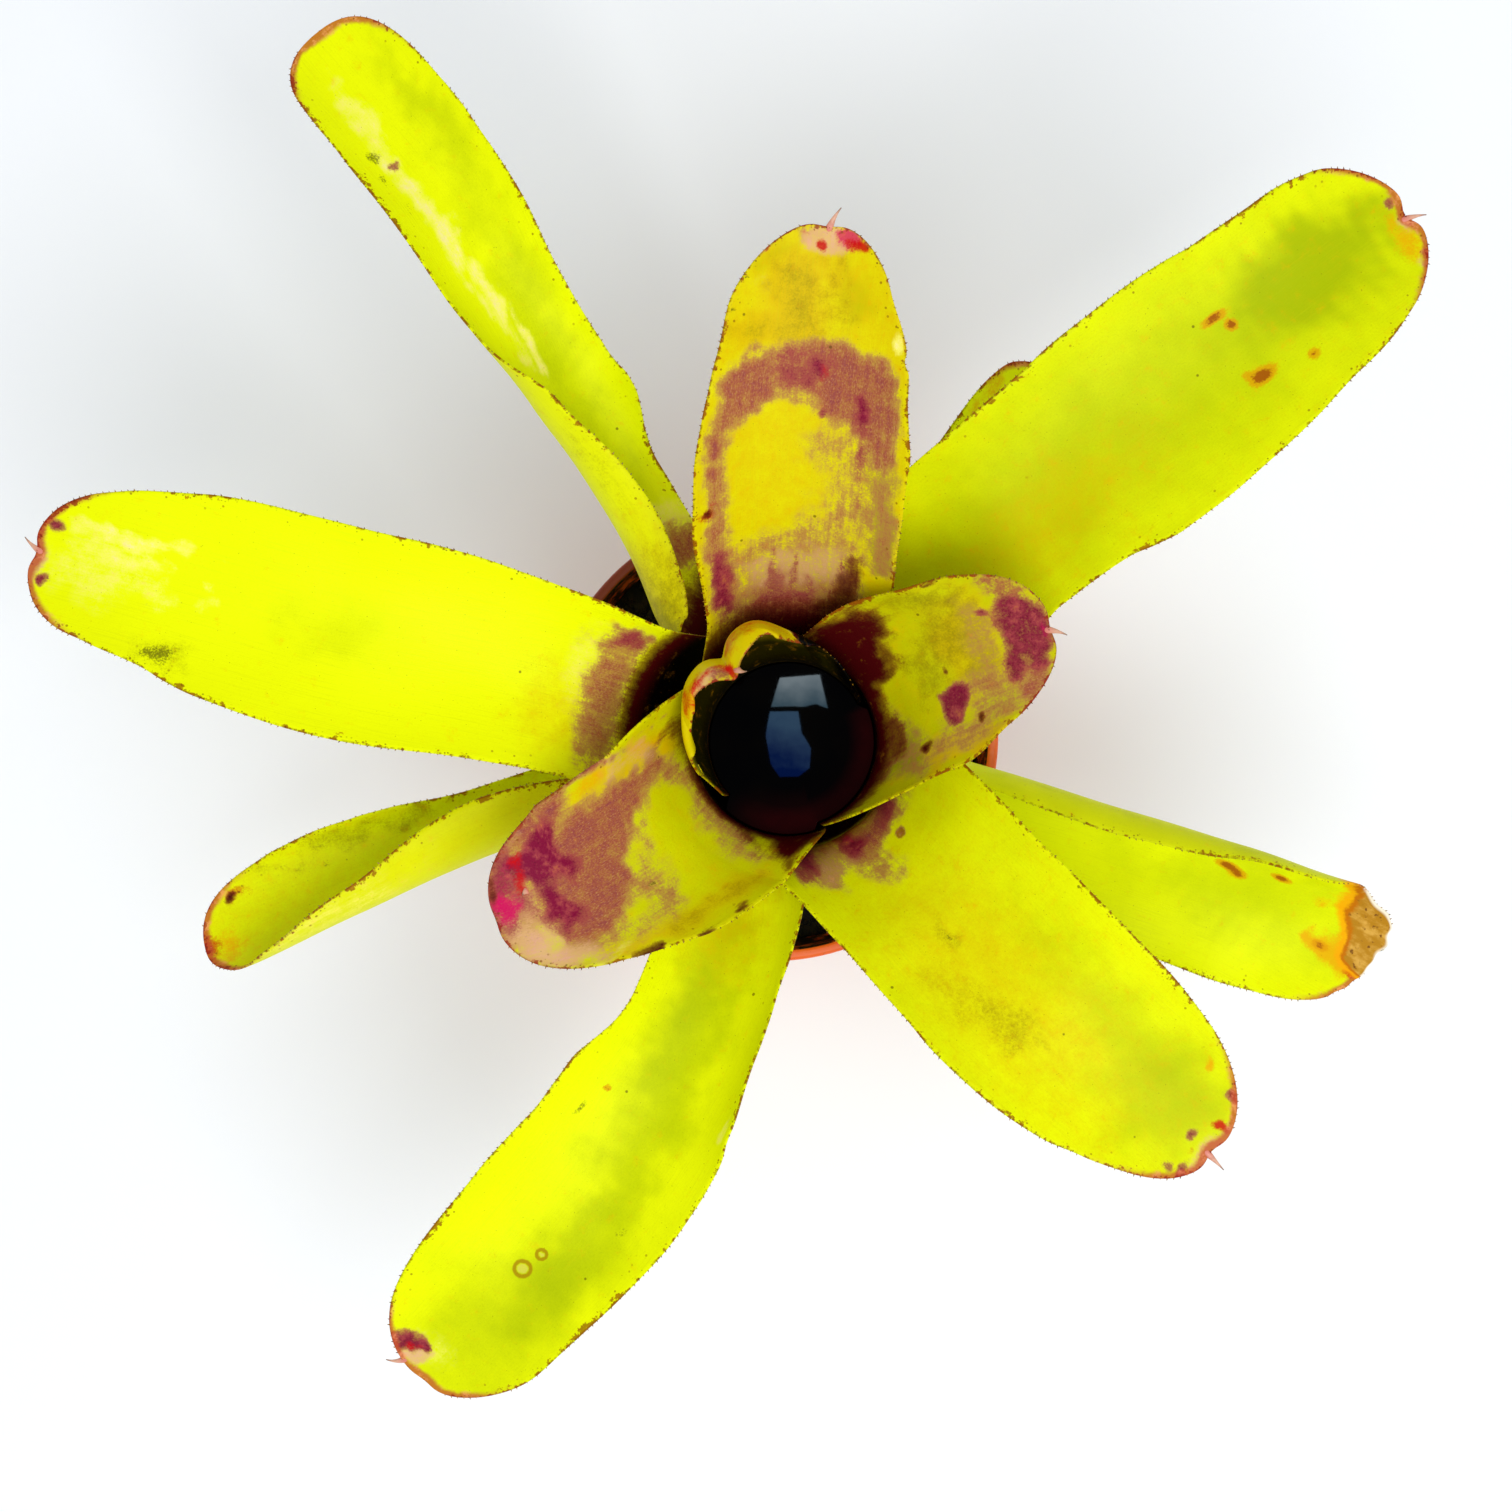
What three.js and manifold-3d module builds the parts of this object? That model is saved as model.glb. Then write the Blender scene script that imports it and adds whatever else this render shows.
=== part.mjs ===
// A neoregelia bromeliad growing in a round plastic pot. Millimetres, +Z up.
// The pot stands on z = 0 with its axis on the Z axis. The rosette grows a little off that axis:
// twelve strap leaves on a short stem, whose sheaths wrap each other into a tank that holds water.

import * as THREE from "three";
import { mergeVertices } from "three/addons/utils/BufferGeometryUtils.js";
import Module from "manifold-3d";

// ---- Driving dimensions ----

const GAP = 0.3; // clearance between pieces that touch

const POT = {
  height: 110,
  rimRadius: 60,
  rimWidth: 3.2,
  lipRadius: 1.2, // rounding of the rim's top edges
  bandHeight: 16, // the thicker band under the rim
  bandStep: 2.2, // how far the band stands proud of the wall
  bandEdge: 0.6, // rounding of the band's lower edge
  ledge: 4, // height over which the inside widens into the band
  baseRadius: 43,
  wall: 1.8,
  floor: 2.5,
  sides: 48,
};
const DRAIN_HOLES = { count: 6, radius: 4, circle: 27, sides: 16 };

const MIX = { edgeHeight: 92, moundHeight: 94.5, moundRadius: 22 }; // it rises a little to the stem

const ROSETTE = { x: 4.5, y: -1.7 }; // where the stem stands in the pot
const STEM = { foot: 70, footRadius: 5, shoulder: 90, top: 124.6, crown: 1.5, leafGap: 0.4, sides: 32 };

// Leaves join the stem in a spiral, the youngest at the top. Each step down the spiral sits
// lower on the stem, and its sheath wraps the ones inside it at a larger radius.
const BASE_TOP = 124; // height where the youngest leaf joins the stem
const BASE_STEP = 2.4; // height between one leaf and the next
const BASE_RADIUS = 7; // radius of the stem at the youngest leaf
const BASE_GROWTH = 0.5; // how much the stem widens with each leaf
const CLASP_TURN = 1.35; // how far a leaf's foot reaches round the stem to each side, in radians
const FLOOR_TURN = 1.6; // the same where the sheath's floor has spread
const FLOOR_SHARE = 0.72; // how far the floor has spread from the stem to the sheath's wall
const FLOOR_RISE = 3;
const TANK_RADIUS = 20; // radius of the youngest leaf's sheath
const SHEATH_PITCH = 1.75; // radius between one sheath and the next
const SHEATH_RISE = 13; // height over which a sheath opens out from the stem to its full radius
const SHEATH_HALF = 34; // half the width of a sheath, measured round its curve
const SHEATH_FLARE = 0.5; // how much the wall leans out by the sheath's top

const LEAF = { thickness: 1.15, edge: 0.7, spine: 4.5, spineHalf: 0.4, spineThickness: 0.5 };
const TIP_POWER = 2.3; // how blunt the rounded end is
const TIP_WIDTH = 0.06; // width left at the very end, as a share of the blade's
const COLUMNS = 8; // faces across a leaf
const BLADE_ROWS = 8;
const TIP_ROWS = 5;

const WATER = { top: 150, bottom: 125.4, wallGap: 0.7, floorGap: 1, corner: 1.2, sides: 32 };

// The leaves, youngest first. azimuth is the way a leaf points, in degrees from +X towards +Y.
// sheathTop is the height where the sheath ends. tip is the length over which the end rounds off.
// left and right limit the sheath's half widths. The blade follows stations, each given as
// [out, side, up, left, right, curlLeft, curlRight, roll]: the midrib's distance from the rosette's
// axis along the azimuth, its distance to the left of that line and its height; the blade's half
// widths; how many degrees each half curls up; and how far the section is turned, left side up.
const LEAVES = [
  {
    azimuth: 125, sheathTop: 160, tip: 12, left: 34, right: 34,
    blade: [
      [25, 0, 171, 33, 27, 86, 72, 0],
      [28, 0, 181, 28, 22, 78, 66, 0],
      [26, 0, 188, 20, 16, 66, 60, 0],
      [22, 0, 192, 11, 10, 50, 50, 0],
    ],
  },
  {
    azimuth: 20, sheathTop: 157, tip: 22, left: 28, right: 34,
    blade: [
      [30.5, 2, 172, 28, 28, 60, 61, 0],
      [42, 4, 184, 24, 26, 44, 48, 0],
      [57, 5, 194, 19, 22, 32, 36, 0],
      [69, 4, 199, 16, 18, 26, 30, 0],
    ],
  },
  {
    azimuth: 211, sheathTop: 154, tip: 24, left: 34, right: 34,
    blade: [
      [33, 2, 168, 33, 31, 62, 62, 0],
      [46, 5, 180, 27, 27, 44, 44, 0],
      [62, 5, 189, 21, 24, 32, 32, 0],
      [81, 1, 194, 17, 21, 28, 28, 0],
    ],
  },
  {
    azimuth: 84, sheathTop: 151, tip: 30, left: 29, right: 32,
    blade: [
      [36, 1, 168, 24.5, 24, 50, 46, 0],
      [55, 2, 190, 27, 24.5, 40, 36, 0],
      [85, 3, 207, 25, 25, 32, 32, 0],
      [121, 3, 219, 18, 17, 28, 28, 0],
    ],
  },
  {
    azimuth: 316, sheathTop: 148, tip: 30, left: 34, right: 34,
    blade: [
      [38, 0, 163, 30, 30, 53, 53, 0],
      [60, -1, 180, 28, 28, 38, 38, 0],
      [95, -2, 190, 27, 26.5, 28, 28, 0],
      [142, 0, 186, 20, 18, 24, 24, 0],
    ],
  },
  {
    azimuth: 167, sheathTop: 145, tip: 26, left: 33, right: 24,
    blade: [
      [40, -1, 158, 26, 22, 50, 50, 0],
      [65, -2, 172, 24, 23, 36, 36, 0],
      [110, -1, 180, 26, 26, 28, 28, 0],
      [160, -3, 178, 22, 23, 24, 24, 0],
      [190, -4, 172, 18, 17, 20, 20, 0],
    ],
  },
  {
    azimuth: 39, sheathTop: 140, tip: 28, left: 30, right: 30,
    blade: [
      [44, 6, 152, 27, 27, 45, 45, 0],
      [80, 8, 172, 27, 27, 34, 34, 0],
      [120, 7, 181, 28, 27, 26, 26, 0],
      [165, 6, 183, 26, 25, 24, 24, 0],
      [199, 5, 178, 20, 18, 20, 20, 0],
    ],
  },
  {
    azimuth: 243, sheathTop: 136, tip: 28, left: 24, right: 27,
    blade: [
      [46, 9, 146, 19, 22, 66, 60, 5],
      [75, 13, 156, 20, 22, 66, 55, 5],
      [110, 9, 160, 24, 24, 38, 34, 0],
      [150, 1, 156, 22, 25, 26, 26, 0],
      [188, -9, 146, 15, 21, 20, 20, 0],
    ],
  },
  {
    azimuth: 118, sheathTop: 130, tip: 24, left: 23, right: 24,
    blade: [
      [50, 8, 138, 28, 15, 106, 70, 38],
      [75, 9, 150, 26, 14, 125, 68, 46],
      [105, 11, 159, 25, 17, 100, 60, 42],
      [125, 10, 163, 22, 15, 70, 52, 25],
      [150, 9, 165, 19, 15, 50, 45, 10],
      [212, 20, 160, 17, 16, 35, 35, 0],
    ],
  },
  {
    azimuth: 340, sheathTop: 126, tip: 22, left: 26, right: 26,
    blade: [
      [50, 5, 129, 22, 24, 100, 50, 35],
      [80, 7.5, 135, 22, 29, 112, 45, 38],
      [120, 8.4, 135, 21, 30, 95, 42, 34],
      [163, 4, 125, 16, 19, 50, 40, 15],
    ],
  },
  {
    azimuth: 200, sheathTop: 122, tip: 24, left: 26, right: 22,
    blade: [
      [52, -2, 128, 26, 14, 120, 85, 45],
      [80, -3, 134, 30, 16, 130, 90, 50],
      [115, -2, 136, 26, 17, 105, 72, 42],
      [160, -1, 128, 13, 14, 55, 45, 20],
    ],
  },
  {
    azimuth: 56, sheathTop: 118, tip: 24, left: 26, right: 26,
    blade: [
      [54, -5, 125, 21, 22, 50, 50, 0],
      [85, -7, 130, 20, 22, 45, 45, 0],
      [119, -6, 125, 17, 18, 35, 35, 0],
    ],
  },
];

// ---- Small helpers ----

const wasm = await Module();
wasm.setup();

const radians = THREE.MathUtils.degToRad;
const degrees = THREE.MathUtils.radToDeg;

function finish(color, roughness, metalness = 0) {
  return new THREE.MeshStandardMaterial({ color, roughness, metalness });
}

// A closed body turned about the Z axis from a profile of [radius, height] points.
function turned(profile, sides) {
  const geometry = new THREE.LatheGeometry(
    profile.map(([radius, height]) => new THREE.Vector2(radius, height)),
    sides,
  );
  return geometry.rotateX(Math.PI / 2);
}

function solidOf(geometry) {
  const bare = geometry.clone();
  bare.deleteAttribute("normal");
  bare.deleteAttribute("uv");
  const merged = mergeVertices(bare, 1e-4);
  return new wasm.Manifold(
    new wasm.Mesh({
      numProp: 3,
      vertProperties: merged.attributes.position.array,
      triVerts: new Uint32Array(merged.index.array),
    }),
  );
}

function geometryOf(solid) {
  const { vertProperties, triVerts } = solid.getMesh();
  const geometry = new THREE.BufferGeometry();
  geometry.setAttribute("position", new THREE.BufferAttribute(vertProperties, 3));
  geometry.setIndex(new THREE.BufferAttribute(triVerts, 1));
  geometry.computeVertexNormals();
  return geometry;
}

// ---- The pot, the mix and the stem ----

const bandBottom = POT.height - POT.bandHeight;
const wallTopRadius = POT.rimRadius - POT.bandStep;
const wallSlope = (wallTopRadius - POT.baseRadius) / bandBottom;
const wallRadius = (height) => POT.baseRadius + wallSlope * height;
const insideRadius = (height) => wallRadius(height) - POT.wall;

function potGeometry() {
  const { height, rimRadius, rimWidth, lipRadius } = POT;
  const lip = (radius, from, to) =>
    [from, (from + to) / 2, to].map((angle) => [
      radius + lipRadius * Math.cos(radians(angle)),
      height - lipRadius + lipRadius * Math.sin(radians(angle)),
    ]);
  const shell = turned(
    [
      [0, 0],
      [POT.baseRadius, 0],
      [wallTopRadius, bandBottom],
      [rimRadius - POT.bandEdge, bandBottom],
      ...lip(rimRadius - lipRadius, 0, 90),
      ...lip(rimRadius - rimWidth + lipRadius, 90, 180),
      [rimRadius - rimWidth, bandBottom + POT.ledge],
      [insideRadius(bandBottom), bandBottom],
      [insideRadius(POT.floor), POT.floor],
      [0, POT.floor],
    ],
    POT.sides,
  );
  let solid = solidOf(shell);
  for (let k = 0; k < DRAIN_HOLES.count; k++) {
    const angle = (2 * Math.PI * k) / DRAIN_HOLES.count;
    const drill = new THREE.CylinderGeometry(
      DRAIN_HOLES.radius,
      DRAIN_HOLES.radius,
      POT.floor * 3,
      DRAIN_HOLES.sides,
    );
    drill.rotateX(Math.PI / 2);
    drill.translate(DRAIN_HOLES.circle * Math.cos(angle), DRAIN_HOLES.circle * Math.sin(angle), 0);
    solid = solid.subtract(solidOf(drill));
  }
  return geometryOf(solid);
}

// The stem's radius at a height, from the radii at which the leaves join it.
function stemRadius(height) {
  const turnsDown = (BASE_TOP - height) / BASE_STEP;
  return BASE_RADIUS + BASE_GROWTH * turnsDown - STEM.leafGap;
}

// The mix fills the pot and closes round the stem's foot.
function mixGeometry() {
  const bottom = POT.floor + GAP;
  const body = turned(
    [
      [0, bottom],
      [insideRadius(bottom) - GAP, bottom],
      [insideRadius(MIX.edgeHeight) - GAP, MIX.edgeHeight],
      [MIX.moundRadius, MIX.moundHeight],
      [0, MIX.moundHeight],
    ],
    POT.sides,
  );
  const socket = turned(stemProfile(GAP), STEM.sides);
  socket.translate(ROSETTE.x, ROSETTE.y, 0);
  return geometryOf(solidOf(body).subtract(solidOf(socket)));
}

function stemProfile(grow) {
  return [
    [0, STEM.foot - grow],
    [STEM.footRadius + grow, STEM.foot - grow],
    [stemRadius(STEM.shoulder) + grow, STEM.shoulder],
    [stemRadius(STEM.top) + grow, STEM.top - STEM.crown / 2],
    [stemRadius(STEM.top) - STEM.crown, STEM.top],
    [0, STEM.top],
  ];
}

// ---- The leaves ----

function sheathRadius(order) {
  return TANK_RADIUS + SHEATH_PITCH * order;
}

// The four stations of a leaf's sheath: it clasps the stem, spreads into a floor and rises
// as a wall. Every section is level and curls about the rosette's axis, so that sheaths nest.
function sheathStations(leaf, order) {
  const joinRadius = BASE_RADIUS + BASE_GROWTH * order;
  const joinHeight = BASE_TOP - BASE_STEP * order;
  const radius = sheathRadius(order);
  const floorRadius = THREE.MathUtils.lerp(joinRadius, radius, FLOOR_SHARE);
  const level = (out, up, half) => {
    const left = Math.min(half, leaf.left);
    const right = Math.min(half, leaf.right);
    return [out, 0, up, left, right, degrees(left / out), degrees(right / out), 0];
  };
  return [
    level(joinRadius, joinHeight, CLASP_TURN * joinRadius),
    level(floorRadius, joinHeight + FLOOR_RISE, FLOOR_TURN * floorRadius),
    level(radius, joinHeight + SHEATH_RISE, SHEATH_HALF),
    level(radius + SHEATH_FLARE, leaf.sheathTop, SHEATH_HALF),
  ];
}

// A smooth curve through values at given lengths that never swings past them.
function smoothCurve(lengths, values) {
  const steps = lengths.slice(1).map((length, k) => length - lengths[k]);
  const slopes = steps.map((step, k) => (values[k + 1] - values[k]) / step);
  const tangents = values.map((_, k) => {
    if (k === 0) return slopes[0];
    if (k === slopes.length) return slopes[k - 1];
    if (slopes[k - 1] * slopes[k] <= 0) return 0;
    const before = 2 * steps[k] + steps[k - 1];
    const after = steps[k] + 2 * steps[k - 1];
    return (before + after) / (before / slopes[k - 1] + after / slopes[k]);
  });
  return (length) => {
    let k = 0;
    while (k < steps.length - 1 && length > lengths[k + 1]) k++;
    const x = THREE.MathUtils.clamp((length - lengths[k]) / steps[k], 0, 1);
    const start = (1 + 2 * x) * (1 - x) ** 2 * values[k];
    const end = x * x * (3 - 2 * x) * values[k + 1];
    const bend = x * (1 - x) ** 2 * tangents[k] + x * x * (x - 1) * tangents[k + 1];
    return start + end + bend * steps[k];
  };
}

// The lengths along a leaf where its rows of points lie: three to each stretch of the sheath,
// then even steps, then closer steps round the tip.
function rowLengths(lengths, tip) {
  const rows = [];
  const sheathEnd = lengths[3];
  const total = lengths.at(-1);
  const tipStart = total - tip;
  [0, 1].forEach((k) => rows.push(lengths[k], (lengths[k] + lengths[k + 1]) / 2));
  [0, 1, 2].forEach((k) => rows.push(lengths[2] + ((sheathEnd - lengths[2]) * k) / 3));
  for (let k = 0; k < BLADE_ROWS; k++) rows.push(sheathEnd + ((tipStart - sheathEnd) * k) / BLADE_ROWS);
  for (let k = 0; k <= TIP_ROWS; k++) rows.push(tipStart + tip * Math.sin((Math.PI * k) / (2 * TIP_ROWS)));
  return rows;
}

// The upper surface of a leaf: rows of points from its left margin to its right one.
function leafSurface(leaf, order) {
  const stations = [...sheathStations(leaf, order), ...leaf.blade];
  const lengths = [0];
  for (let k = 1; k < stations.length; k++) {
    const [a, b] = [stations[k - 1], stations[k]];
    lengths.push(lengths[k - 1] + Math.hypot(b[0] - a[0], b[1] - a[1], b[2] - a[2]));
  }
  const along = stations[0].map((_, k) => smoothCurve(lengths, stations.map((s) => s[k])));
  const total = lengths.at(-1);

  const azimuth = radians(leaf.azimuth);
  const outward = new THREE.Vector3(Math.cos(azimuth), Math.sin(azimuth), 0);
  const leftward = new THREE.Vector3(-Math.sin(azimuth), Math.cos(azimuth), 0);
  const midrib = (length) =>
    new THREE.Vector3(ROSETTE.x, ROSETTE.y, along[2](length))
      .addScaledVector(outward, along[0](length))
      .addScaledVector(leftward, along[1](length));

  return rowLengths(lengths, leaf.tip).map((length) => {
    const centre = midrib(length);
    const ahead = midrib(Math.min(total, length + 0.5));
    const forward = ahead.sub(midrib(Math.max(0, length - 0.5))).normalize();
    const [left, right, curlLeft, curlRight, roll] = along.slice(3).map((curve) => curve(length));

    // The section's own left and up, level in the sheath and square to the midrib in the blade.
    const squareLeft = leftward.clone().addScaledVector(forward, -leftward.dot(forward)).normalize();
    const squareUp = forward.clone().cross(squareLeft);
    const turn = THREE.MathUtils.smoothstep(length, lengths[2], lengths[3]);
    const up = outward.clone().negate().lerp(squareUp, turn).normalize();
    const across = leftward.clone().lerp(squareLeft, turn);
    across.addScaledVector(up, -across.dot(up)).normalize();
    const rolledLeft = across.clone().multiplyScalar(Math.cos(radians(roll)));
    rolledLeft.addScaledVector(up, Math.sin(radians(roll)));
    const rolledUp = up.clone().multiplyScalar(Math.cos(radians(roll)));
    rolledUp.addScaledVector(across, -Math.sin(radians(roll)));

    const intoTip = Math.max(0, (length - (total - leaf.tip)) / leaf.tip);
    const rounding = (1 - Math.min(1, intoTip) ** TIP_POWER) ** (1 / TIP_POWER);
    const taper = Math.max(TIP_WIDTH, rounding);
    const row = [];
    for (let j = 0; j <= COLUMNS; j++) {
      const share = 1 - (2 * j) / COLUMNS;
      const half = share > 0 ? left : right;
      const bend = radians(share > 0 ? curlLeft : curlRight) / half;
      const arc = bend * share * half * taper;
      row.push(
        centre
          .clone()
          .addScaledVector(rolledLeft, Math.sin(arc) / bend)
          .addScaledVector(rolledUp, (1 - Math.cos(arc)) / bend),
      );
    }
    return row;
  });
}

// The direction square to the surface at each of its points, on the upper side.
function surfaceNormals(surface) {
  const last = surface.length - 1;
  return surface.map((row, i) =>
    row.map((_, j) => {
      const forward = surface[Math.min(last, i + 1)][j].clone().sub(surface[Math.max(0, i - 1)][j]);
      const leftward = row[Math.max(0, j - 1)].clone().sub(row[Math.min(COLUMNS, j + 1)]);
      return forward.cross(leftward).normalize();
    }),
  );
}

// The short stiff spine that a leaf ends in: one narrow row past the last one.
function addSpine(surface, normals) {
  const lastRow = surface.at(-1);
  const middle = lastRow[COLUMNS / 2];
  const forward = middle.clone().sub(surface.at(-2)[COLUMNS / 2]).normalize();
  const width = lastRow[0].distanceTo(lastRow[COLUMNS]);
  const narrow = (2 * LEAF.spineHalf) / width;
  surface.push(
    lastRow.map((point) =>
      middle.clone().lerp(point, narrow).addScaledVector(forward, LEAF.spine),
    ),
  );
  normals.push(normals.at(-1).map((normal) => normal.clone()));
}

// A leaf's closed body: the upper surface, a lower one a leaf's thickness below it, and the rim.
function leafGeometry(leaf, order) {
  const upper = leafSurface(leaf, order);
  const normals = surfaceNormals(upper);
  addSpine(upper, normals);
  const rows = upper.length;
  const lower = upper.map((row, i) =>
    row.map((point, j) => {
      const fromMidrib = Math.abs(1 - (2 * j) / COLUMNS);
      const leafThickness = LEAF.thickness - (LEAF.thickness - LEAF.edge) * fromMidrib ** 3;
      const thickness = i === rows - 1 ? LEAF.spineThickness : leafThickness;
      return point.clone().addScaledVector(normals[i][j], -thickness);
    }),
  );

  const points = [...upper.flat(), ...lower.flat()];
  const positions = points.flatMap((point) => point.toArray());
  const width = COLUMNS + 1;
  const below = rows * width;
  const at = (i, j) => i * width + j;
  const faces = [];
  const quad = (a, b, c, d) => faces.push(a, b, c, a, c, d);
  for (let i = 0; i < rows - 1; i++) {
    for (let j = 0; j < COLUMNS; j++) {
      const corners = [at(i, j), at(i, j + 1), at(i + 1, j + 1), at(i + 1, j)];
      quad(...corners);
      quad(...corners.reverse().map((corner) => corner + below));
    }
    quad(at(i, 0), at(i + 1, 0), at(i + 1, 0) + below, at(i, 0) + below);
    quad(at(i + 1, COLUMNS), at(i, COLUMNS), at(i, COLUMNS) + below, at(i + 1, COLUMNS) + below);
  }
  for (let j = 0; j < COLUMNS; j++) {
    quad(at(0, j + 1), at(0, j), at(0, j) + below, at(0, j + 1) + below);
    quad(at(rows - 1, j), at(rows - 1, j + 1), at(rows - 1, j + 1) + below, at(rows - 1, j) + below);
  }
  const geometry = new THREE.BufferGeometry();
  geometry.setAttribute("position", new THREE.Float32BufferAttribute(positions, 3));
  geometry.setIndex(faces);
  geometry.computeVertexNormals();
  return geometry;
}

// ---- The water held in the tank ----

// It fills the youngest leaf's sheath, from the floor over the stem's top up to a level surface.
function waterGeometry() {
  const radius = sheathRadius(0) - WATER.wallGap;
  const floorRadius = THREE.MathUtils.lerp(BASE_RADIUS, sheathRadius(0), FLOOR_SHARE);
  return turned(
    [
      [0, WATER.bottom],
      [BASE_RADIUS, WATER.bottom],
      [floorRadius - WATER.floorGap, BASE_TOP + FLOOR_RISE + WATER.floorGap],
      [radius - WATER.corner, BASE_TOP + (FLOOR_RISE + SHEATH_RISE) / 2],
      [radius, BASE_TOP + SHEATH_RISE + WATER.floorGap],
      [radius, WATER.top],
      [0, WATER.top],
    ],
    WATER.sides,
  );
}

// ---- The plant in its pot ----

const terracotta = finish("#c75a3a", 0.5);
const mixFinish = finish("#1c1410", 0.95);
const stemFinish = finish("#7d6a3c", 0.7);
const waterFinish = finish("#0b0f10", 0.05);
const youngLeaf = finish("#b9ad22", 0.4);
const grownLeaf = finish("#c8e000", 0.4);
const BLUSHED_LEAVES = 4; // the youngest leaves, which are flushed with purple

const plant = new THREE.Group();

function place(name, geometry, material) {
  const mesh = new THREE.Mesh(geometry, material);
  mesh.name = name;
  plant.add(mesh);
  return mesh;
}

place("pot", potGeometry(), terracotta);
place("potting_mix", mixGeometry(), mixFinish);
place("stem", turned(stemProfile(0), STEM.sides), stemFinish).position.set(ROSETTE.x, ROSETTE.y, 0);
place("tank_water", waterGeometry(), waterFinish).position.set(ROSETTE.x, ROSETTE.y, 0);
LEAVES.forEach((leaf, order) => {
  const name = "leaf_" + String(order + 1).padStart(2, "0");
  place(name, leafGeometry(leaf, order), order < BLUSHED_LEAVES ? youngLeaf : grownLeaf);
});

export default plant;
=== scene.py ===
"""A neoregelia bromeliad in its plastic pot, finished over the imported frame.

Sizes are in millimetres and are turned into metres when a mesh is made. Each leaf is swept from the
same stations as its solid, then given its thickness, its marks, its marginal teeth and its spine.
"""

import math

import bpy
import numpy as np
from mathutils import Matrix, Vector


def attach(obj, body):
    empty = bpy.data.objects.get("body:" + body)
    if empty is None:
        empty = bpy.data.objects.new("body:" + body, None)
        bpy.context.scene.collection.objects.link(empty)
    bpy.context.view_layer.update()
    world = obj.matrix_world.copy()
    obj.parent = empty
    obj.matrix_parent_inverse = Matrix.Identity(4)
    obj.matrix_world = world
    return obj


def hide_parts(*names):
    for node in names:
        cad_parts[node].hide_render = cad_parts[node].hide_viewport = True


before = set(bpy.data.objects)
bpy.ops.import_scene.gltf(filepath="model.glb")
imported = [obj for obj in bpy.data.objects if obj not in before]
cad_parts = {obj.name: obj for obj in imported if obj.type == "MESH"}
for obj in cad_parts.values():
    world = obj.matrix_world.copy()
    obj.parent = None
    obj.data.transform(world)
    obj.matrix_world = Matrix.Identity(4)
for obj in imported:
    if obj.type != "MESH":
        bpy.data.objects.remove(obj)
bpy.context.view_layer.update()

MM = 0.001
BODY = "root"

# ---- Sizes of the pot, the mix, the stem and the water ----

POT_HEIGHT = 110
RIM_RADIUS = 60
RIM_WIDTH = 3.2
LIP_RADIUS = 1.2
BAND_HEIGHT = 16
BAND_STEP = 2.2
BAND_EDGE = 0.6
LEDGE = 4
BASE_DISC_RADIUS = 43
FOOT_CORNER = 1.0
FLOOR_CORNER = 2
POT_WALL = 1.8
POT_FLOOR = 2.5
POT_SIDES = 144
LIP_STEPS = 8
DRAIN_HOLES = 6
DRAIN_RADIUS = 4
DRAIN_CIRCLE = 27
DRAIN_SIDES = 32
# Middle of the painted shade on the top of the rim, on the side the leaves overhang.
RIM_SHADE_SPOT = (-0.042, 0.042, 0.105)  # in metres, on the inside of the rim

MIX_EDGE = 92
MIX_MOUND = 94.5
MIX_GAP = 0.3
MIX_SIDES = 120
MIX_RINGS = 26
CRUMB_SIDES = 90
CRUMB_RINGS = 22

ROSETTE = np.array([4.5, -1.7, 0.0])
STEM_FOOT = 70
STEM_TOP = 124.6
STEM_SIDES = 64
STEM_RINGS = 90
STEM_FOOT_RADIUS = 5
STEM_FULL_HEIGHT = 90
SCAR_DEPTH = 0.22

WATER_TOP = 150
WATER_BOTTOM = 125.4
WATER_SURFACE = WATER_TOP - 0.02
WATER_SIDES = 128
WATER_GAP = 0.15
SHALLOW_AZIMUTH = 315

# ---- Sizes that all leaves share ----

BASE_TOP = 124
BASE_STEP = 2.4
BASE_RADIUS = 7
BASE_GROWTH = 0.5
CLASP_TURN = 1.35
FLOOR_TURN = 1.6
FLOOR_SHARE = 0.72
FLOOR_RISE = 3
TANK_RADIUS = 20
SHEATH_PITCH = 1.75
SHEATH_RISE = 13
SHEATH_HALF = 34
SHEATH_FLARE = 0.5
SHEATH_END = 3  # the station at which a sheath ends

BLADE_THICKNESS = 1.0
MARGIN_THICKNESS = 0.55
TIP_THINNING = 0.4
MARGIN_ROUND = 0.22
TIP_POWER = 2.3
TIP_WIDTH = 0.02
NOTCH_HALF = 3.2
NOTCH_REACH = 9
LOBES_FROM = 46
LOBES_FULL = 64
TEAR_SEED = 17
WAVE_SPREAD = (0.7, 1.5)
BLADE_WAVER = 0.3
MARGIN_WAVER = 0.45
TIPWARD_REACH = 14

COLUMNS = 48
SHEATH_ROWS = 34
BLADE_ROWS = 130
TIP_ROWS = 44
SPINE_SIDES = 12
SPINE_ROWS = 14
SPINE_POINT = 0.12
SPINE_FOOT = 1.15
SPINE_DEPTH = 0.35

TOOTH_SPACING = 1.7
TOOTH_LENGTH = 0.5
TOOTH_WIDTH = 0.17
TOOTH_LEAN = 0.55
TEETH_FROM = 4
TEETH_END = 1.2
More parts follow.
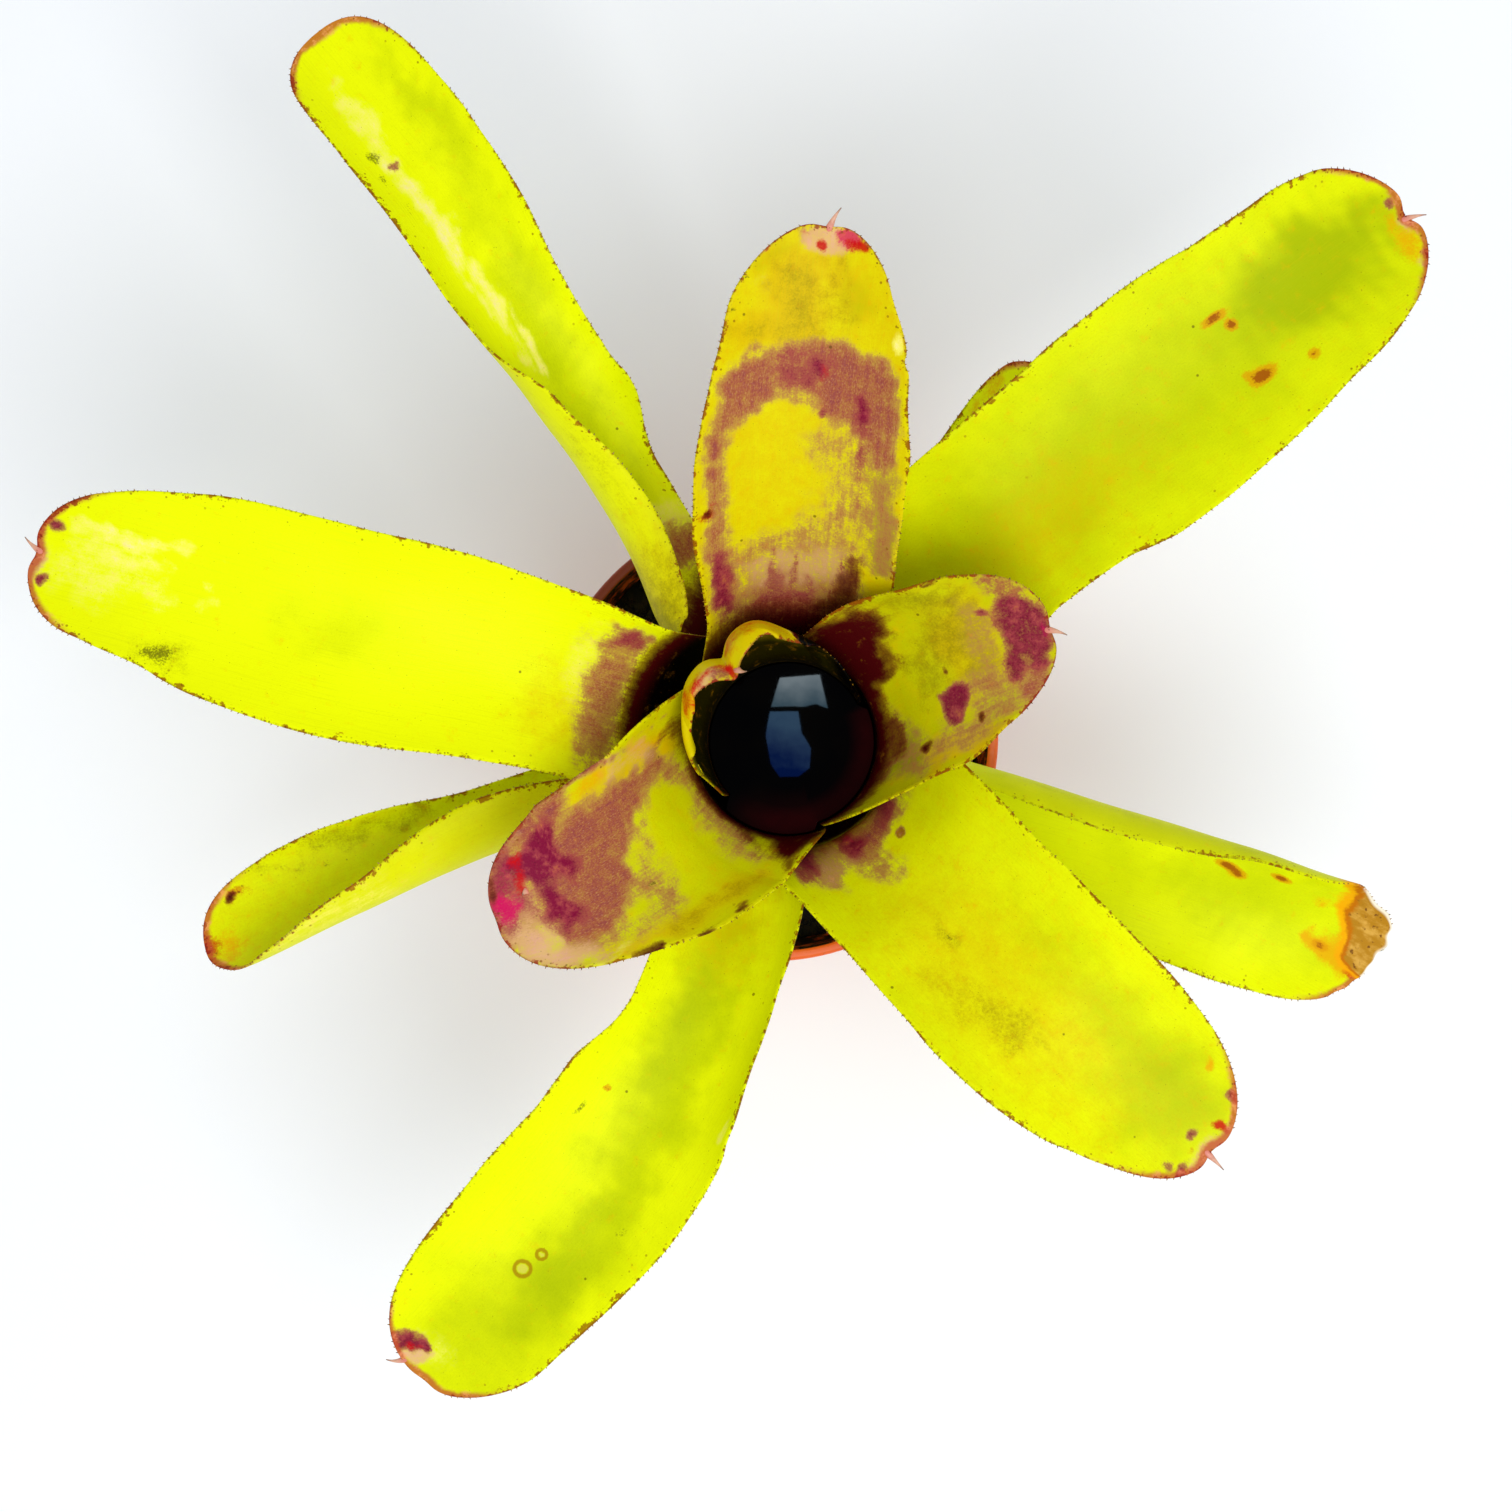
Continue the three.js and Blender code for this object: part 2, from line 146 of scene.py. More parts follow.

# ---- The leaves ----
# Stations are [out, side, up, left half, right half, curl left, curl right, roll], as in the frame.
# green, gold: how deep a green and how warm a yellow the clean skin is; the green is partly deeper pigment
# and partly painted shade.
# The dark of the inner face, wine-red pigment running into painted shade that is black lower down: dark
# below the first length and clear above the second.
# spine: its length, its bend to the left and up in degrees, then how far its foot stands behind
# the tip and to the left.
# notch: how deep the tip is dented where the spine stands. longer: how far the tip is drawn out.
# torn: how far the tear reaches and how deep it is, and over what length the tip is dry.
# wider: [along, left margin, right margin], how far each margin stands outside the frame's width.
# lobes: [across, push, width], where the rim is pushed away from the tank's middle.
# marks: by kind, [along, across, half length, half width, strength], across counted to the left.
# patches: [kind, strength, rim, then its outline as along, across for each corner], the rim being
# half the width over which the patch fades.

LEAVES = {}
LEAVES["leaf_01"] = dict(
    azimuth=125, sheath_top=160, tip=12, left=34, right=34, green=0.9, gold=0.5, wine=(44, 52),
    spine=(5.0, -40, -25, 1.6, 0), notch=0.8, lobes=[[-9, 2.6, 6], [1.5, -3.0, 3], [12, 0.8, 5]],
    blade=[
        [25, 0, 171, 33, 27, 86, 72, 0], [28, 0, 181, 28, 22, 78, 66, 0], [26, 0, 188, 20, 16, 66, 60, 0],
        [22, 0, 192, 11, 10, 50, 50, 0],
    ],
    marks=dict(
        orange=[[73, 15, 6, 5, 0.7], [67, -9, 7, 6, 0.7]], gold=[[64, 0, 16, 30, 0.5]],
        peach=[[76, 9, 3, 4, 0.9]], rose=[[77, 4, 3, 4, 0.6]], red=[[78, 1, 3.5, 2.2, 1.0],
        [75, 2.5, 3, 3, 0.7], [74, 10, 3, 3.5, 0.9], [71, 15, 4, 3, 0.7], [71, -4, 7, 4, 0.6]],
        # The two cream marks on the margin are painted highlights, glints of water.
        olive=[[71, -13, 8, 6, 0.4]], cream=[[63, -18.5, 2, 1.6, 1.0], [52, 31, 2.4, 1.6, 1.0]],
    ),
    patches=[
        # These two patches are painted shade on the inner face, where it falls into the dark of the tank.
        ["dim", 1.1, 4.5, 36, -26, 57, -24, 60, 0, 57, 26, 50, 36, 36, 36],
        ["dim", 0.4, 4.5, 36, -28, 66, -24, 69, 0, 66, 24, 56, 36, 36, 36],
        # This patch is painted shade: the sheath's right end, dark where it turns down into the tank.
        ["wine", 2.6, 1.5, 30, -21, 50, -20, 60, -18, 80, -21, 80, -45, 30, -45],
    ],
)
LEAVES["leaf_02"] = dict(
    azimuth=20, sheath_top=157, tip=22, left=28, right=34, green=0.7, gold=0.45, wine=(50, 57),
    spine=(6.4, -38, 6, 2.2, 0), notch=1.0,
    blade=[
        [30.5, 2, 172, 28, 28, 60, 61, 0], [42, 4, 184, 24, 26, 44, 48, 0],
        [57, 5, 194, 19, 22, 32, 36, 0], [69, 4, 199, 16, 18, 26, 30, 0],
    ],
    wider=[[80, 0, 0], [93, 0, -2.3], [100, 0.4, -2.4], [108, 0.8, -1.4]],
    marks=dict(
        red=[[69, 22, 3, 2, 0.45]], wine=[[88, 20.5, 1.6, 0.8, 0.8], [66, -16.4, 1.9, 1.7, 1.0],
        [85, -15.4, 1, 0.9, 0.9], [78, -0.6, 0.7, 0.9, 0.7]], gold=[[78, -20, 14, 4, 0.8]],
        rose=[[93, 8.6, 1.6, 1.1, 0.8]],
    ),
    patches=[
        # The two wine patches below are partly painted shadow: their edge follows a shadow line that falls
        # across the leaf.
        ["wine", 0.95, 3.4, 30, 30, 56.5, 28, 66.6, 24.6, 69.3, 18.6, 65.8, 12.4, 59.1, 7, 52.7, 2.1,
         48.1, -2.5, 30, -30],
        ["wine", 0.7, 3.9, 30, 32, 58.5, 28, 67.8, 27, 71.6, 23.9, 72.7, 17.9, 68.4, 12.8, 61.4, 7.7,
         54.8, 2.8, 53, -0.8, 58, -7.2, 58, -12.3, 51.9, -15.8, 47.5, -19.2, 30, -32],
        ["olive", 1, 3.9, 51.9, -0.8, 58.2, -6.5, 65.2, -12.3, 66.1, -19.1, 62.6, -22.9, 53, -21.8, 45.5,
         -21.2],
        ["olive", 0.6, 4.2, 66.4, 27.4, 74.5, 25, 82.6, 22.7, 90.4, 19.8, 89.7, 16, 81.7, 16.6, 74.5,
         18.1, 73, 21.6, 70.1, 24.4],
        ["olive", 0.7, 5, 82.6, 18.2, 90.7, 15.2, 95.7, 7.7, 96, 0.4, 94.1, -7.6, 88.3, -10.1, 83.2, -10,
         81.1, -3.2, 73, -6, 65.8, -6.1, 67.5, 2.7, 75.6, 10.5],
        ["gold", 0.5, 5, 83.5, 13.5, 91.1, 12.6, 95.7, 7.7, 96, 0.4, 94.1, -7.6, 88.3, -10.1, 83.2, -10,
         81.1, -3.2, 75.6, 2.5],
        ["blush", 0.3, 3.8, 89.3, 11.4, 95.7, 7.7, 96, 1.3, 94.4, -4.3, 86.6, -4.9, 83.7, 0],
        ["rose", 0.95, 2, 96.6, 8.3, 99, 11.7, 102.7, 11.9, 106.5, 7.9, 108.3, 4.2, 108.9, 0.1, 108.1,
         -4.5, 105.3, -8.1, 102, -8, 100.4, -6.1, 97.8, -9.7, 95, -10.1, 94.7, -5.9, 95, -0.5, 95.7, 5],
        ["rose", 0.5, 2.6, 96.6, 17.1, 103, 13, 106.8, 8.3, 108.9, 1.2, 108.9, -1.7, 106, 7.1, 101.7,
         11.3, 97.2, 10.3],
        ["pink", 0.6, 1.8, 106.8, 1.7, 108.9, 0.1, 108.2, -4.3, 106.5, -2.5],
        ["rose", 1, 1.4, 73, -6, 76.5, -5.9, 79.4, -5.1, 81.7, -6.3, 80.8, -10.2, 78.8, -13.6, 75.9,
         -14.4, 73.9, -12.6, 73.3, -9.3],
        ["blush", 0.5, 3.8, 80, -5.8, 86.6, -4.9, 94.1, -5.4, 97.8, -10.2, 102, -8, 106, -8.1, 104.3,
         -13, 99.3, -16.6, 90.4, -19.8, 81.4, -21.6, 72.7, -22, 67.8, -17.6, 71.9, -13.4, 80.3, -14.7,
         83.2, -10],
        ["blush", 0.7, 2.3, 101, -7.6, 106.7, -8, 105.3, -11.9, 101, -16.1, 95.4, -16.8, 97.2, -11.9],
        ["blush", 0.35, 4, 54.5, -1.5, 65.2, -11.6, 72.7, -22, 66.4, -24.5, 53.9, -22.3, 44.9, -22.1],
    ],
)
LEAVES["leaf_03"] = dict(
    azimuth=211, sheath_top=154, tip=24, left=34, right=34, green=0.5, gold=0.35, wine=(47, 52),
    spine=(2.6, 50, 45, 9, -4.7), notch=0.5, longer=1.5,
    blade=[
        [33, 2, 168, 33, 31, 62, 62, 0], [46, 5, 180, 27, 27, 44, 44, 0], [62, 5, 189, 21, 24, 32, 32, 0],
        [81, 1, 194, 17, 21, 28, 28, 0],
    ],
    wider=[[92, 0, 0], [104, -1.1, 0.8], [115, 0, 1.7]],
    marks=dict(
        blush=[[86, -26, 16, 1.2, 1.0]], gold=[[72, -20, 16, 6, 0.8]], cream=[[101, 17, 6, 1.6, 0.5]],
        peach=[[107, 8.5, 3.5, 5, 0.6]], wine=[[92, 22, 2.4, 2, 1.0], [79, 27, 1.6, 0.7, 0.9],
        [73, 28, 1.6, 0.8, 0.9], [116, -7.5, 1.0, 2.4, 0.7]], soot=[[79.6, 7.4, 1.3, 0.8, 1.0]],
    ),
    patches=[
        ["wine", 1, 3, 46.7, -13.6, 45.1, -9.3, 47.6, 17, 50.4, 21.1, 54.5, 27.7, 56, 31, 30, 34, 30, -34],
        ["wine", 0.6, 4.6, 56.6, -20, 52.9, -14, 48.6, -7.6, 47.3, 11, 48.9, 15.3, 52, 20.3, 55.1, 26.8,
         56.6, 30.1, 30, 34, 30, -34],
        ["blush", 0.5, 3.8, 61, -15.5, 53.5, -12.3, 47, -6.8, 44.8, 11.9, 48.6, 16.1, 52, 16, 53.2, 11.8,
         55.4, 7.5, 53.2, 2.5, 50.7, -2.5, 56, -8.8, 61.3, -10.8],
        ["blush", 1, 4.6, 84, -17.6, 78.4, -19.6, 70, -18.8, 65.1, -15.8, 61.6, -16.2, 57, -16.8, 52.9,
         -14, 58.5, -11.8, 63.2, -9.9, 68.2, -10.3, 72.5, -6.4, 76.9, -4.8, 80.9, -1.3, 84, 1.9, 84.7,
         6.3, 88.1, 9.5, 93.4, 9.4, 95.6, 12.3, 99.7, 12.5, 102.9, 11.2, 104.3, 9, 105.3, 5.3, 106.2,
         -0.5, 108.4, -6.5, 111.1, -10.1, 110.3, -17, 106.9, -19.7, 97.9, -21.3, 91.8, -18.6, 87.8, -17.8],
        ["blush", 0.45, 5, 80.9, -1.3, 75.9, 0, 75.3, 6.4, 75.3, 12, 77.5, 14.4, 80, 12, 85, 11.2, 90,
         12.2, 94.5, 11.4, 94.9, 8.7, 90, 8.1, 85.6, 5.6, 84.7, 1.3],
        ["rose", 1.15, 2.4, 104.6, -18.4, 97.1, -19.7, 94.9, -17.7, 94.5, -14.7, 96.4, -12.6, 96.4,
         -10.2, 93.8, -8, 94.1, -3.7, 96.4, -2.4, 97.5, -5.9, 100.1, -6.3, 101.9, -3.4, 101.2, 0.5, 97.9,
         2.6, 98.6, 5.1, 101.2, 7.3, 103.6, 9.2, 104.9, 6.6, 105.9, 1.3, 106.2, -5, 108.1, -8.5, 110.9,
         -9.1, 111.1, -12.2, 108.1, -15.1, 105.6, -16.4],
        ["rose", 0.55, 2.3, 114.9, -11, 112.8, -14.3, 109.8, -17.5, 110.3, -14.4, 111.9, -9.6, 109.8,
         -5.7, 111.1, -2.8, 114, -4.7, 117.3, -2.4, 116.8, -6],
        ["red", 0.9, 1.8, 109.2, -16.6, 107.8, -16.2, 107.5, -13.5, 108.7, -10.1, 108.4, -6.5, 107.8,
         -4.3, 110.9, -4.5, 110.3, -10.2, 110.9, -12.8],
        ["pink", 0.85, 2.2, 117.1, -4.5, 115.3, -5.7, 111.6, -4.7, 110.9, -1.6, 112.8, 1.2, 115.8, 1.9,
         117.4, -0.3],
        ["pink", 0.35, 3.5, 114.9, -11, 110.3, -14.9, 110.9, -7.4, 110.9, -1.6, 115.7, 1, 117.2, -3.3],
        ["peach", 0.8, 2.3, 112.3, -14.9, 110.9, -16.5, 109, -18.2, 107.5, -18.8, 109.2, -16.6, 111.9,
         -15.4],
        ["peach", 0.95, 3.6, 117.4, -0.3, 113.8, 0.5, 110.3, 2.1, 107.5, 5.3, 106.2, 8.9, 104.3, 11.7,
         100.4, 13.8, 99.7, 17, 104.3, 16.7, 107.8, 15.2, 112.1, 11.6, 115.6, 6.2],
        ["orange", 0.7, 3.2, 92.8, -20.4, 89.3, -23.3, 84.4, -24.1, 79.1, -25, 74.4, -23.8, 81.2, -19.9,
         85.6, -20.7, 90.6, -18.8],
        ["orange", 0.8, 2.8, 70, -27.5, 61.9, -23.1, 56.6, -20, 58.5, -17.3, 61.3, -17.8, 66.3, -21.6],
        ["peach", 0.5, 3.8, 75.3, -27.1, 63.8, -23.6, 61, -17.8, 67.5, -20, 75.3, -20.1, 81.2, -19.9],
        ["gold", 0.5, 3.8, 100.4, 14.8, 96, 16, 90.3, 17.3, 81.6, 18.3, 74.1, 18.8, 66.9, 21.4, 57.3, 25,
         59.1, 29, 68.8, 26.3, 77.5, 22.7, 85.9, 22.8, 93.1, 21.1, 99, 17.7],
        ["olive", 0.5, 3.8, 85, 18.7, 76.6, 18.1, 70, 20.6, 58.5, 25.8, 59.8, 29, 68.8, 26.3, 77.5, 22.7,
         85, 22.4],
        ["blush", 0.6, 3, 94.9, -24.4, 92.8, -19.1, 104.9, -18.8, 108.7, -16.1, 111.6, -12.6, 112.6,
         -8.8, 111.6, -4.3, 116.7, -3.9, 116.5, -7, 114, -12.6, 110.1, -17.2, 103.9, -21.4],
        ["peach", 0.7, 3, 110.6, -8.4, 107.8, -7.2, 106.6, -2.5, 105.9, 2.6, 105.3, 6.6, 104.3, 9.5,
         106.6, 9.6, 107.8, 5.2, 110.6, 1.4, 113.2, 0.3, 111.6, -2.4],
        ["rose", 0.5, 3, 110.6, -8.4, 107.8, -7.2, 106.6, -2.5, 105.9, 2.6, 104.9, 7.5, 107.2, 6.1,
         109.2, 1.1, 111.6, -0.4, 111.1, -4.5],
        ["blush", 0.4, 4, 106.6, 9.6, 102.2, 10, 95.3, 11.3, 88.4, 11.3, 77.8, 9.6, 77.8, 16.4, 91.2,
         18.2, 99.7, 16.5, 104.3, 15.8],
        ["blush", 0.35, 5, 45.8, -8.5, 54.2, 26, 57.6, 24.2, 60.1, 14.9, 56.3, 7.5, 52, -1.7],
        ["blush", 0.75, 3, 125, -30, 86, -34, 90, -20, 104, -16, 108, -8, 108, 0, 108, 8, 125, 8],
        ["rose", 0.5, 3, 125, -24, 108, -22, 111, -12, 112, -4, 112, 4, 125, 6],
        ["blush", 0.6, 3, 110.3, -9.3, 107.2, -7.3, 105.9, -1.5, 105.9, 3.9, 107.2, 4.9, 110.6, 0.7,
         111.4, -3.6],
        ["cream", 0.7, 4, 114.2, 1.5, 109.5, 3, 106.6, 9.2, 105.6, 13, 110.9, 10.3, 113.8, 6.9],
        ["blush", 0.4, 2, 113, 10.4, 106.9, 14.1, 101.2, 16.5, 98.6, 17.4, 99.3, 19.6, 104.6, 17.4, 109,
         15.2, 112.8, 11.8],
    ],
)
LEAVES["leaf_04"] = dict(
    azimuth=84, sheath_top=151, tip=30, left=29, right=32, green=0.25, gold=0.7, wine=(57, 67),
    spine=(7.2, -34, 5, 2.2, 0), notch=0.8,
    blade=[
        [36, 1, 168, 24.5, 24, 50, 46, 0], [55, 2, 190, 27, 24.5, 40, 36, 0],
        [85, 3, 207, 25, 25, 32, 32, 0], [121, 3, 219, 18, 17, 28, 28, 0],
    ],
    wider=[
        [90, 0.8, 0.4], [100, 1.2, 0.5], [113, 1, 1.2], [120, 0.6, -0.3], [127, -0.5, -1.2],
        [134, -0.8, -1.7], [136.5, -0.7, -2.9], [139, -0.5, -2.2], [149, 0.6, -2.4], [156, 0.7, -1.4],
        [164, -0.5, -0.3],
    ],
    marks=dict(
        red=[[162.6, -8.4, 1.6, 1.8, 1.1], [161, 0.8, 1.5, 1.4, 1.2], [163.5, 5, 1.0, 1.2, 0.5],
        [132, -2.4, 2.0, 1.4, 0.5], [97, 24, 2.1, 1.6, 0.9]], pink=[[164, -6.2, 1.2, 1.6, 0.9]],
        cream=[[151, 14.7, 3, 3, 0.3], [141, -19, 2.4, 1.4, 0.9]], rose=[[121, -4, 1.1, 1.1, 0.8],
        [74, 1.5, 8, 0.9, 0.5], [75, 7, 7, 0.8, 0.4], [76, -10, 7, 0.9, 0.4]],
        soot=[[152, 18.2, 0.9, 0.9, 0.9], [145, 20.4, 1.1, 1.1, 0.9]], wine=[[97, 24, 1.5, 1.2, 0.9]],
    ),
    patches=[
        ["blush", 0.95, 3.2, 128.8, 21.2, 132, 18.4, 134.7, 15.1, 135.6, 9.6, 135.2, 3.6, 137.5, 0.6,
         138.9, -4.8, 137.5, -10.3, 135.6, -15.3, 131.5, -18.7, 125.7, -21.9, 119.3, -22.5, 113.4, -21.8,
         111.6, -16.8, 113.4, -13.7, 110.7, -13.6, 113.9, -11.2, 117.9, -9.3, 119.3, -6.2, 121.1, -3.1,
         125.2, 0.6, 125.7, 5, 122.9, 8.9, 121.1, 12.8, 118.8, 18.1, 115.7, 20.8, 109.8, 21.8, 106.6,
         22.6, 110.2, 24.4, 116.1, 24.1, 122.5, 22.9],
        ["blush", 0.8, 2.6, 118.4, 24.5, 117, 20.1, 108.9, 19.9, 103, 20.8, 96.2, 19.6, 88, 18.7, 75.8,
         17.7, 64.4, 17.2, 69.4, 24.7, 78.5, 23.7, 90.3, 24.2, 100.7, 24.9, 109.8, 25.1],
        ["rose", 0.55, 3, 133.4, 11, 135.2, 6.6, 133.4, 1.2, 134.7, -4.3, 130.6, -5, 126.1, -1.2, 127,
         2.5, 126.1, 6.9, 128.4, 10],
        ["rose", 0.8, 1.5, 132.9, 1.2, 134.3, -1.8, 132, -3.7, 128.8, -2.5, 126.1, -0.6, 127, 1.3, 129.7,
         -0.6],
        ["rose", 1, 1.5, 126.1, -10.6, 127.9, -12.5, 123.8, -14.4, 117.5, -14.3, 112, -13.7, 112, -12.4,
         117, -12.5, 121.6, -11.2],
        ["rose", 0.45, 1.5, 112, -11.8, 112, -14.3, 104.3, -14.2, 98.4, -13.5, 103.9, -12.3],
        ["rose", 0.9, 2.3, 85.7, 21.9, 82.1, 19.6, 75.8, 17.7, 64.4, 17.8, 67.6, 22.7, 78, 23.1],
        ["blush", 0.42, 5.5, 52, -19, 52, 22, 85.7, 19.2, 87.5, 12, 88.5, 4.7, 92.1, 0.7, 96.2, -7.4,
         96.2, -12.3, 87.5, -15.2],
        ["peach", 0.5, 4, 78.9, 14.8, 79.8, 8.4, 83.9, -1.8, 84.4, -10.9, 76.7, -11.5, 68, -4.2, 67.1,
         4.9, 67.1, 13.5],
        ["blush", 0.5, 3.5, 52, -18, 52, 20, 70.3, 16.1, 74.8, 10.7, 75.3, 5.1, 74.4, 0, 74.8, -6.6,
         76.7, -11.5],
        ["rose", 0.6, 3, 54, -8, 54, 13, 62.1, 13, 68.9, 9.2, 74.4, 6.9, 72.1, 5, 67.1, 2.5, 67.6, 0,
         73.5, -2.4, 68, -4.2, 61.2, -3.7],
        ["olive", 1, 3, 103, -16.7, 106.6, -18.6, 103, -21, 98, -24, 92.1, -24.5, 84.4, -23.7, 80.3,
         -18.8, 88.5, -17.1, 96.2, -17.8],
        ["blush", 0.45, 3.4, 103, -16.7, 106.6, -18.6, 103, -21, 98, -24, 92.1, -24.5, 84.4, -23.7, 80.3,
         -18.8, 88.5, -17.1, 96.2, -17.8],
        ["wine", 0.75, 3, 54, -20, 54, 0, 60.8, -1.9, 68, -7.2, 75.8, -11.5, 81.7, -12.1, 83.9, -14,
         81.7, -15.8, 78.9, -16.9, 71.7, -12.6],
        ["blush", 0.34, 5, 115.7, -1.2, 118.8, -6.9, 117, -12.5, 117.9, -16.2, 115.2, -21.8, 107.1,
         -24.1, 93.9, -24.5, 84.8, -24.3, 80.7, -19.4, 79.4, -15.1, 92.1, -11.6, 95.7, -6.7, 100.7, -3.1,
         108.9, -0.6],
        ["olive", 0.6, 5, 117, -10.6, 117.9, -16.2, 115.2, -21.8, 107.1, -24.1, 93.9, -24.5, 84.8, -24.3,
         80.7, -19.4, 79.4, -15.1, 92.1, -12.8],
        ["gold", 0.55, 3.8, 155.2, 10.9, 158.6, 5.7, 158, -0.7, 153.7, -2.2, 148.9, 0, 143.5, -1.7,
         138.9, 0, 137.5, 6.5, 137.5, 14.3, 136.6, 18, 140.3, 20.3, 143.1, 15.7, 147.6, 10.9, 152.6, 11.5],
        ["olive", 0.5, 6, 157, 11.6, 158.9, 2.8, 156.6, -3.1, 146.7, -4.2, 143.5, -8.4, 139.4, -4.7, 137,
         4.2, 138, 11.3, 136.6, 16.8, 139.8, 19.8, 145.4, 10.3, 151.4, 11.9],
        ["green", 0.5, 3.8, 155.2, -4.1, 154.8, -11.2, 148, -13.4, 144.5, -10, 148.4, -6.1],
        ["green", 0.6, 2.8, 155.6, 16.5, 160.6, 12.1, 159.8, 7.6, 155.2, 11.7, 153.3, 15.6],
        ["peach", 0.9, 1.5, 166.1, -0.6, 165.7, -2.8, 162.6, -2.4, 161.4, -5, 158.9, -0.7, 159.8, 4.9,
         163.6, 6.1, 165.1, 3.2],
        ["blush", 0.5, 1.5, 164.1, 7.3, 165, 4.4, 164.8, 0.7, 162.1, 1.1, 161.2, 5.3],
        ["red", 0.95, 1.3, 162.6, -4.8, 163.2, -8.2, 161.9, -10, 160.1, -7.8, 160.9, -5.8],
        ["pink", 0.95, 1.6, 164.8, -2.2, 165.4, -4.8, 164, -7.4, 161.7, -9.7, 160.4, -7.9, 161.7, -5.1,
         162.6, -3.2],
    ],
)
LEAVES["leaf_05"] = dict(
    azimuth=316, sheath_top=148, tip=30, left=34, right=34, green=0.25, gold=0.25, wine=(24, 50),
    spine=(7.2, -6, 4, 2.2, -1), notch=1.4, longer=2.2,
    blade=[
        [38, 0, 163, 30, 30, 53, 53, 0], [60, -1, 180, 28, 28, 38, 38, 0],
        [95, -2, 190, 27, 26.5, 28, 28, 0], [142, 0, 186, 20, 18, 24, 24, 0],
    ],
    wider=[
        [88, 0, 0], [104, 0, 0.8], [111, 0, 1.3], [127, 0, 0.9], [142, 0.3, 0], [150, 0.1, -1.1],
        [157, 0.4, -1.1], [171, 1, 0.3],
    ],
    marks=dict(
        ring=[[61, 3, 1.0, 1.0, 1.0]], rose=[[61, 3, 1.3, 1.3, 0.8], [169, 13, 2.0, 1.2, 1.0],
        [168.5, -0.7, 1.5, 1.4, 0.8], [172, -8.6, 1.6, 2.2, 1.1], [168, -10.3, 1.2, 1.2, 0.7]],
        olive=[[93, -5.6, 5, 4.5, 0.4], [106, -14, 12, 7, 0.3], [119, -10, 9, 6, 0.45]],
        soot=[[93, -5.6, 2.4, 2.4, 0.6]], gold=[[110, -6, 40, 16, 0.35]], green=[[158, 3, 16, 14, 0.5],
        [128, 10, 26, 8, 0.3]], wine=[[169, 13.5, 1.6, 1.0, 0.5]], red=[[171, 6, 2.0, 1.3, 1.1],
        [171, -3.5, 1, 1.6, 0.5]], orange=[[161, 15.7, 1.6, 1.2, 1.1]], peach=[[174.5, 0, 2.4, 12, 0.8]],
    ),
    patches=[
        ["blush", 0.62, 4, 42, -26, 42, 12, 54.6, 10.5, 56, 8.7, 57, 4.7, 57.9, 2.3, 57.5, -0.8, 59.9,
         -3.1, 64.7, -3, 69.1, -4.4, 71, -7.3, 68.1, -9.6, 63.7, -10.5, 59.4, -10, 57.5, -11.7, 57.5,
         -13.3, 60.4, -15.3, 64.7, -17.9, 62.3, -21.1, 58.9, -23.2, 54.6, -25.7, 51.7, -25.6],
        ["blush", 0.95, 3, 49.3, 6.7, 53.1, 9, 55.5, 6.4, 55.5, 3.2, 56.5, -0.8, 57, -4.7, 58.9, -8.5,
         56, -10.3, 50.2, -8.3],
        ["peach", 0.35, 4, 48.3, -11, 53.6, -11.4, 57.9, -10.1, 57.5, -12.5, 59.9, -16.1, 62.8, -19.6,
         59.9, -20.7, 56, -19.8, 52.2, -18.1],
        ["rose", 1, 1.6, 42, -11, 42, -5, 44.9, -6.8, 50.7, -5, 54.6, -4, 56, -4.8, 56.5, -7.9, 55.5,
         -9.6, 52.6, -10.6, 47.3, -10.2],
        ["rose", 1, 1.6, 42, -23, 44, -15, 46.8, -17, 51.7, -17.3, 56, -19.8, 54.6, -21.7, 52.6, -22.1,
         50.7, -23.3, 48.3, -21.1],
        ["rose", 0.7, 2, 43.5, 4.2, 51.7, 8.2, 54.6, 6.4, 55, 3.2, 54.6, 1.6, 51.2, 2.5],
        ["rose", 0.6, 2, 52.2, -25.5, 54.1, -22.6, 56.5, -20.5, 58.4, -23.3, 55.5, -25.5],
        ["pink", 0.5, 1.6, 45.4, -6.8, 50.7, -5.8, 54.6, -4.8, 52.2, -8.2, 49.3, -9.2],
    ],
)
LEAVES["leaf_06"] = dict(
    azimuth=167, sheath_top=145, tip=26, left=33, right=24, green=0.0, gold=0.0, wine=(63, 68),
    spine=(7.0, -38, 6, 2.2, 0), notch=1.6, longer=2.6,
    blade=[
        [40, -1, 158, 26, 22, 50, 50, 0], [65, -2, 172, 24, 23, 36, 36, 0],
        [110, -1, 180, 26, 26, 28, 28, 0], [160, -3, 178, 22, 23, 24, 24, 0],
        [190, -4, 172, 18, 17, 20, 20, 0],
    ],
    wider=[
        [82, 0, 0.5], [98, 0, 1.6], [121, -0.2, 2], [137, 0, 1.1], [153, 0.1, 1.3], [169, 0.2, 1.7],
        [176, -0.4, 1.4], [184, -1.7, 0.3], [192, -2.1, -0.5], [199, -1.9, -0.7], [207, -0.1, 0.2],
        [214, 1.4, 1.4],
    ],
    marks=dict(
        blush=[[70, -15, 4, 4, 1.0], [74, -14, 5, 4, 0.6], [72, -4, 6, 8, 0.75], [72, 8, 6, 12, 0.7]],
        rose=[[70, -15.5, 3, 2.6, 0.7], [214, -8, 2, 1.6, 1.0], [218, -3, 2.4, 2.6, 1.1],
        # The cream streaks near the tip are painted highlights.
        [213, 6, 1.4, 1.4, 1.0]], cream=[[79, -4, 5, 12, 0.45], [197, -9, 14, 2.2, 0.9],
        [194, -4, 12, 2, 0.7], [202, 2, 12, 8, 0.45], [186, 2, 12, 3, 0.4]], gold=[[84, 8, 12, 14, 0.5]],
        green=[[140, 0, 16, 9, 0.3]], soot=[[181, 18, 5, 3.4, 0.9]], olive=[[180, 17, 8, 5, 0.5]],
        peach=[[217, 1, 2.4, 5, 0.9]],
    ),
)
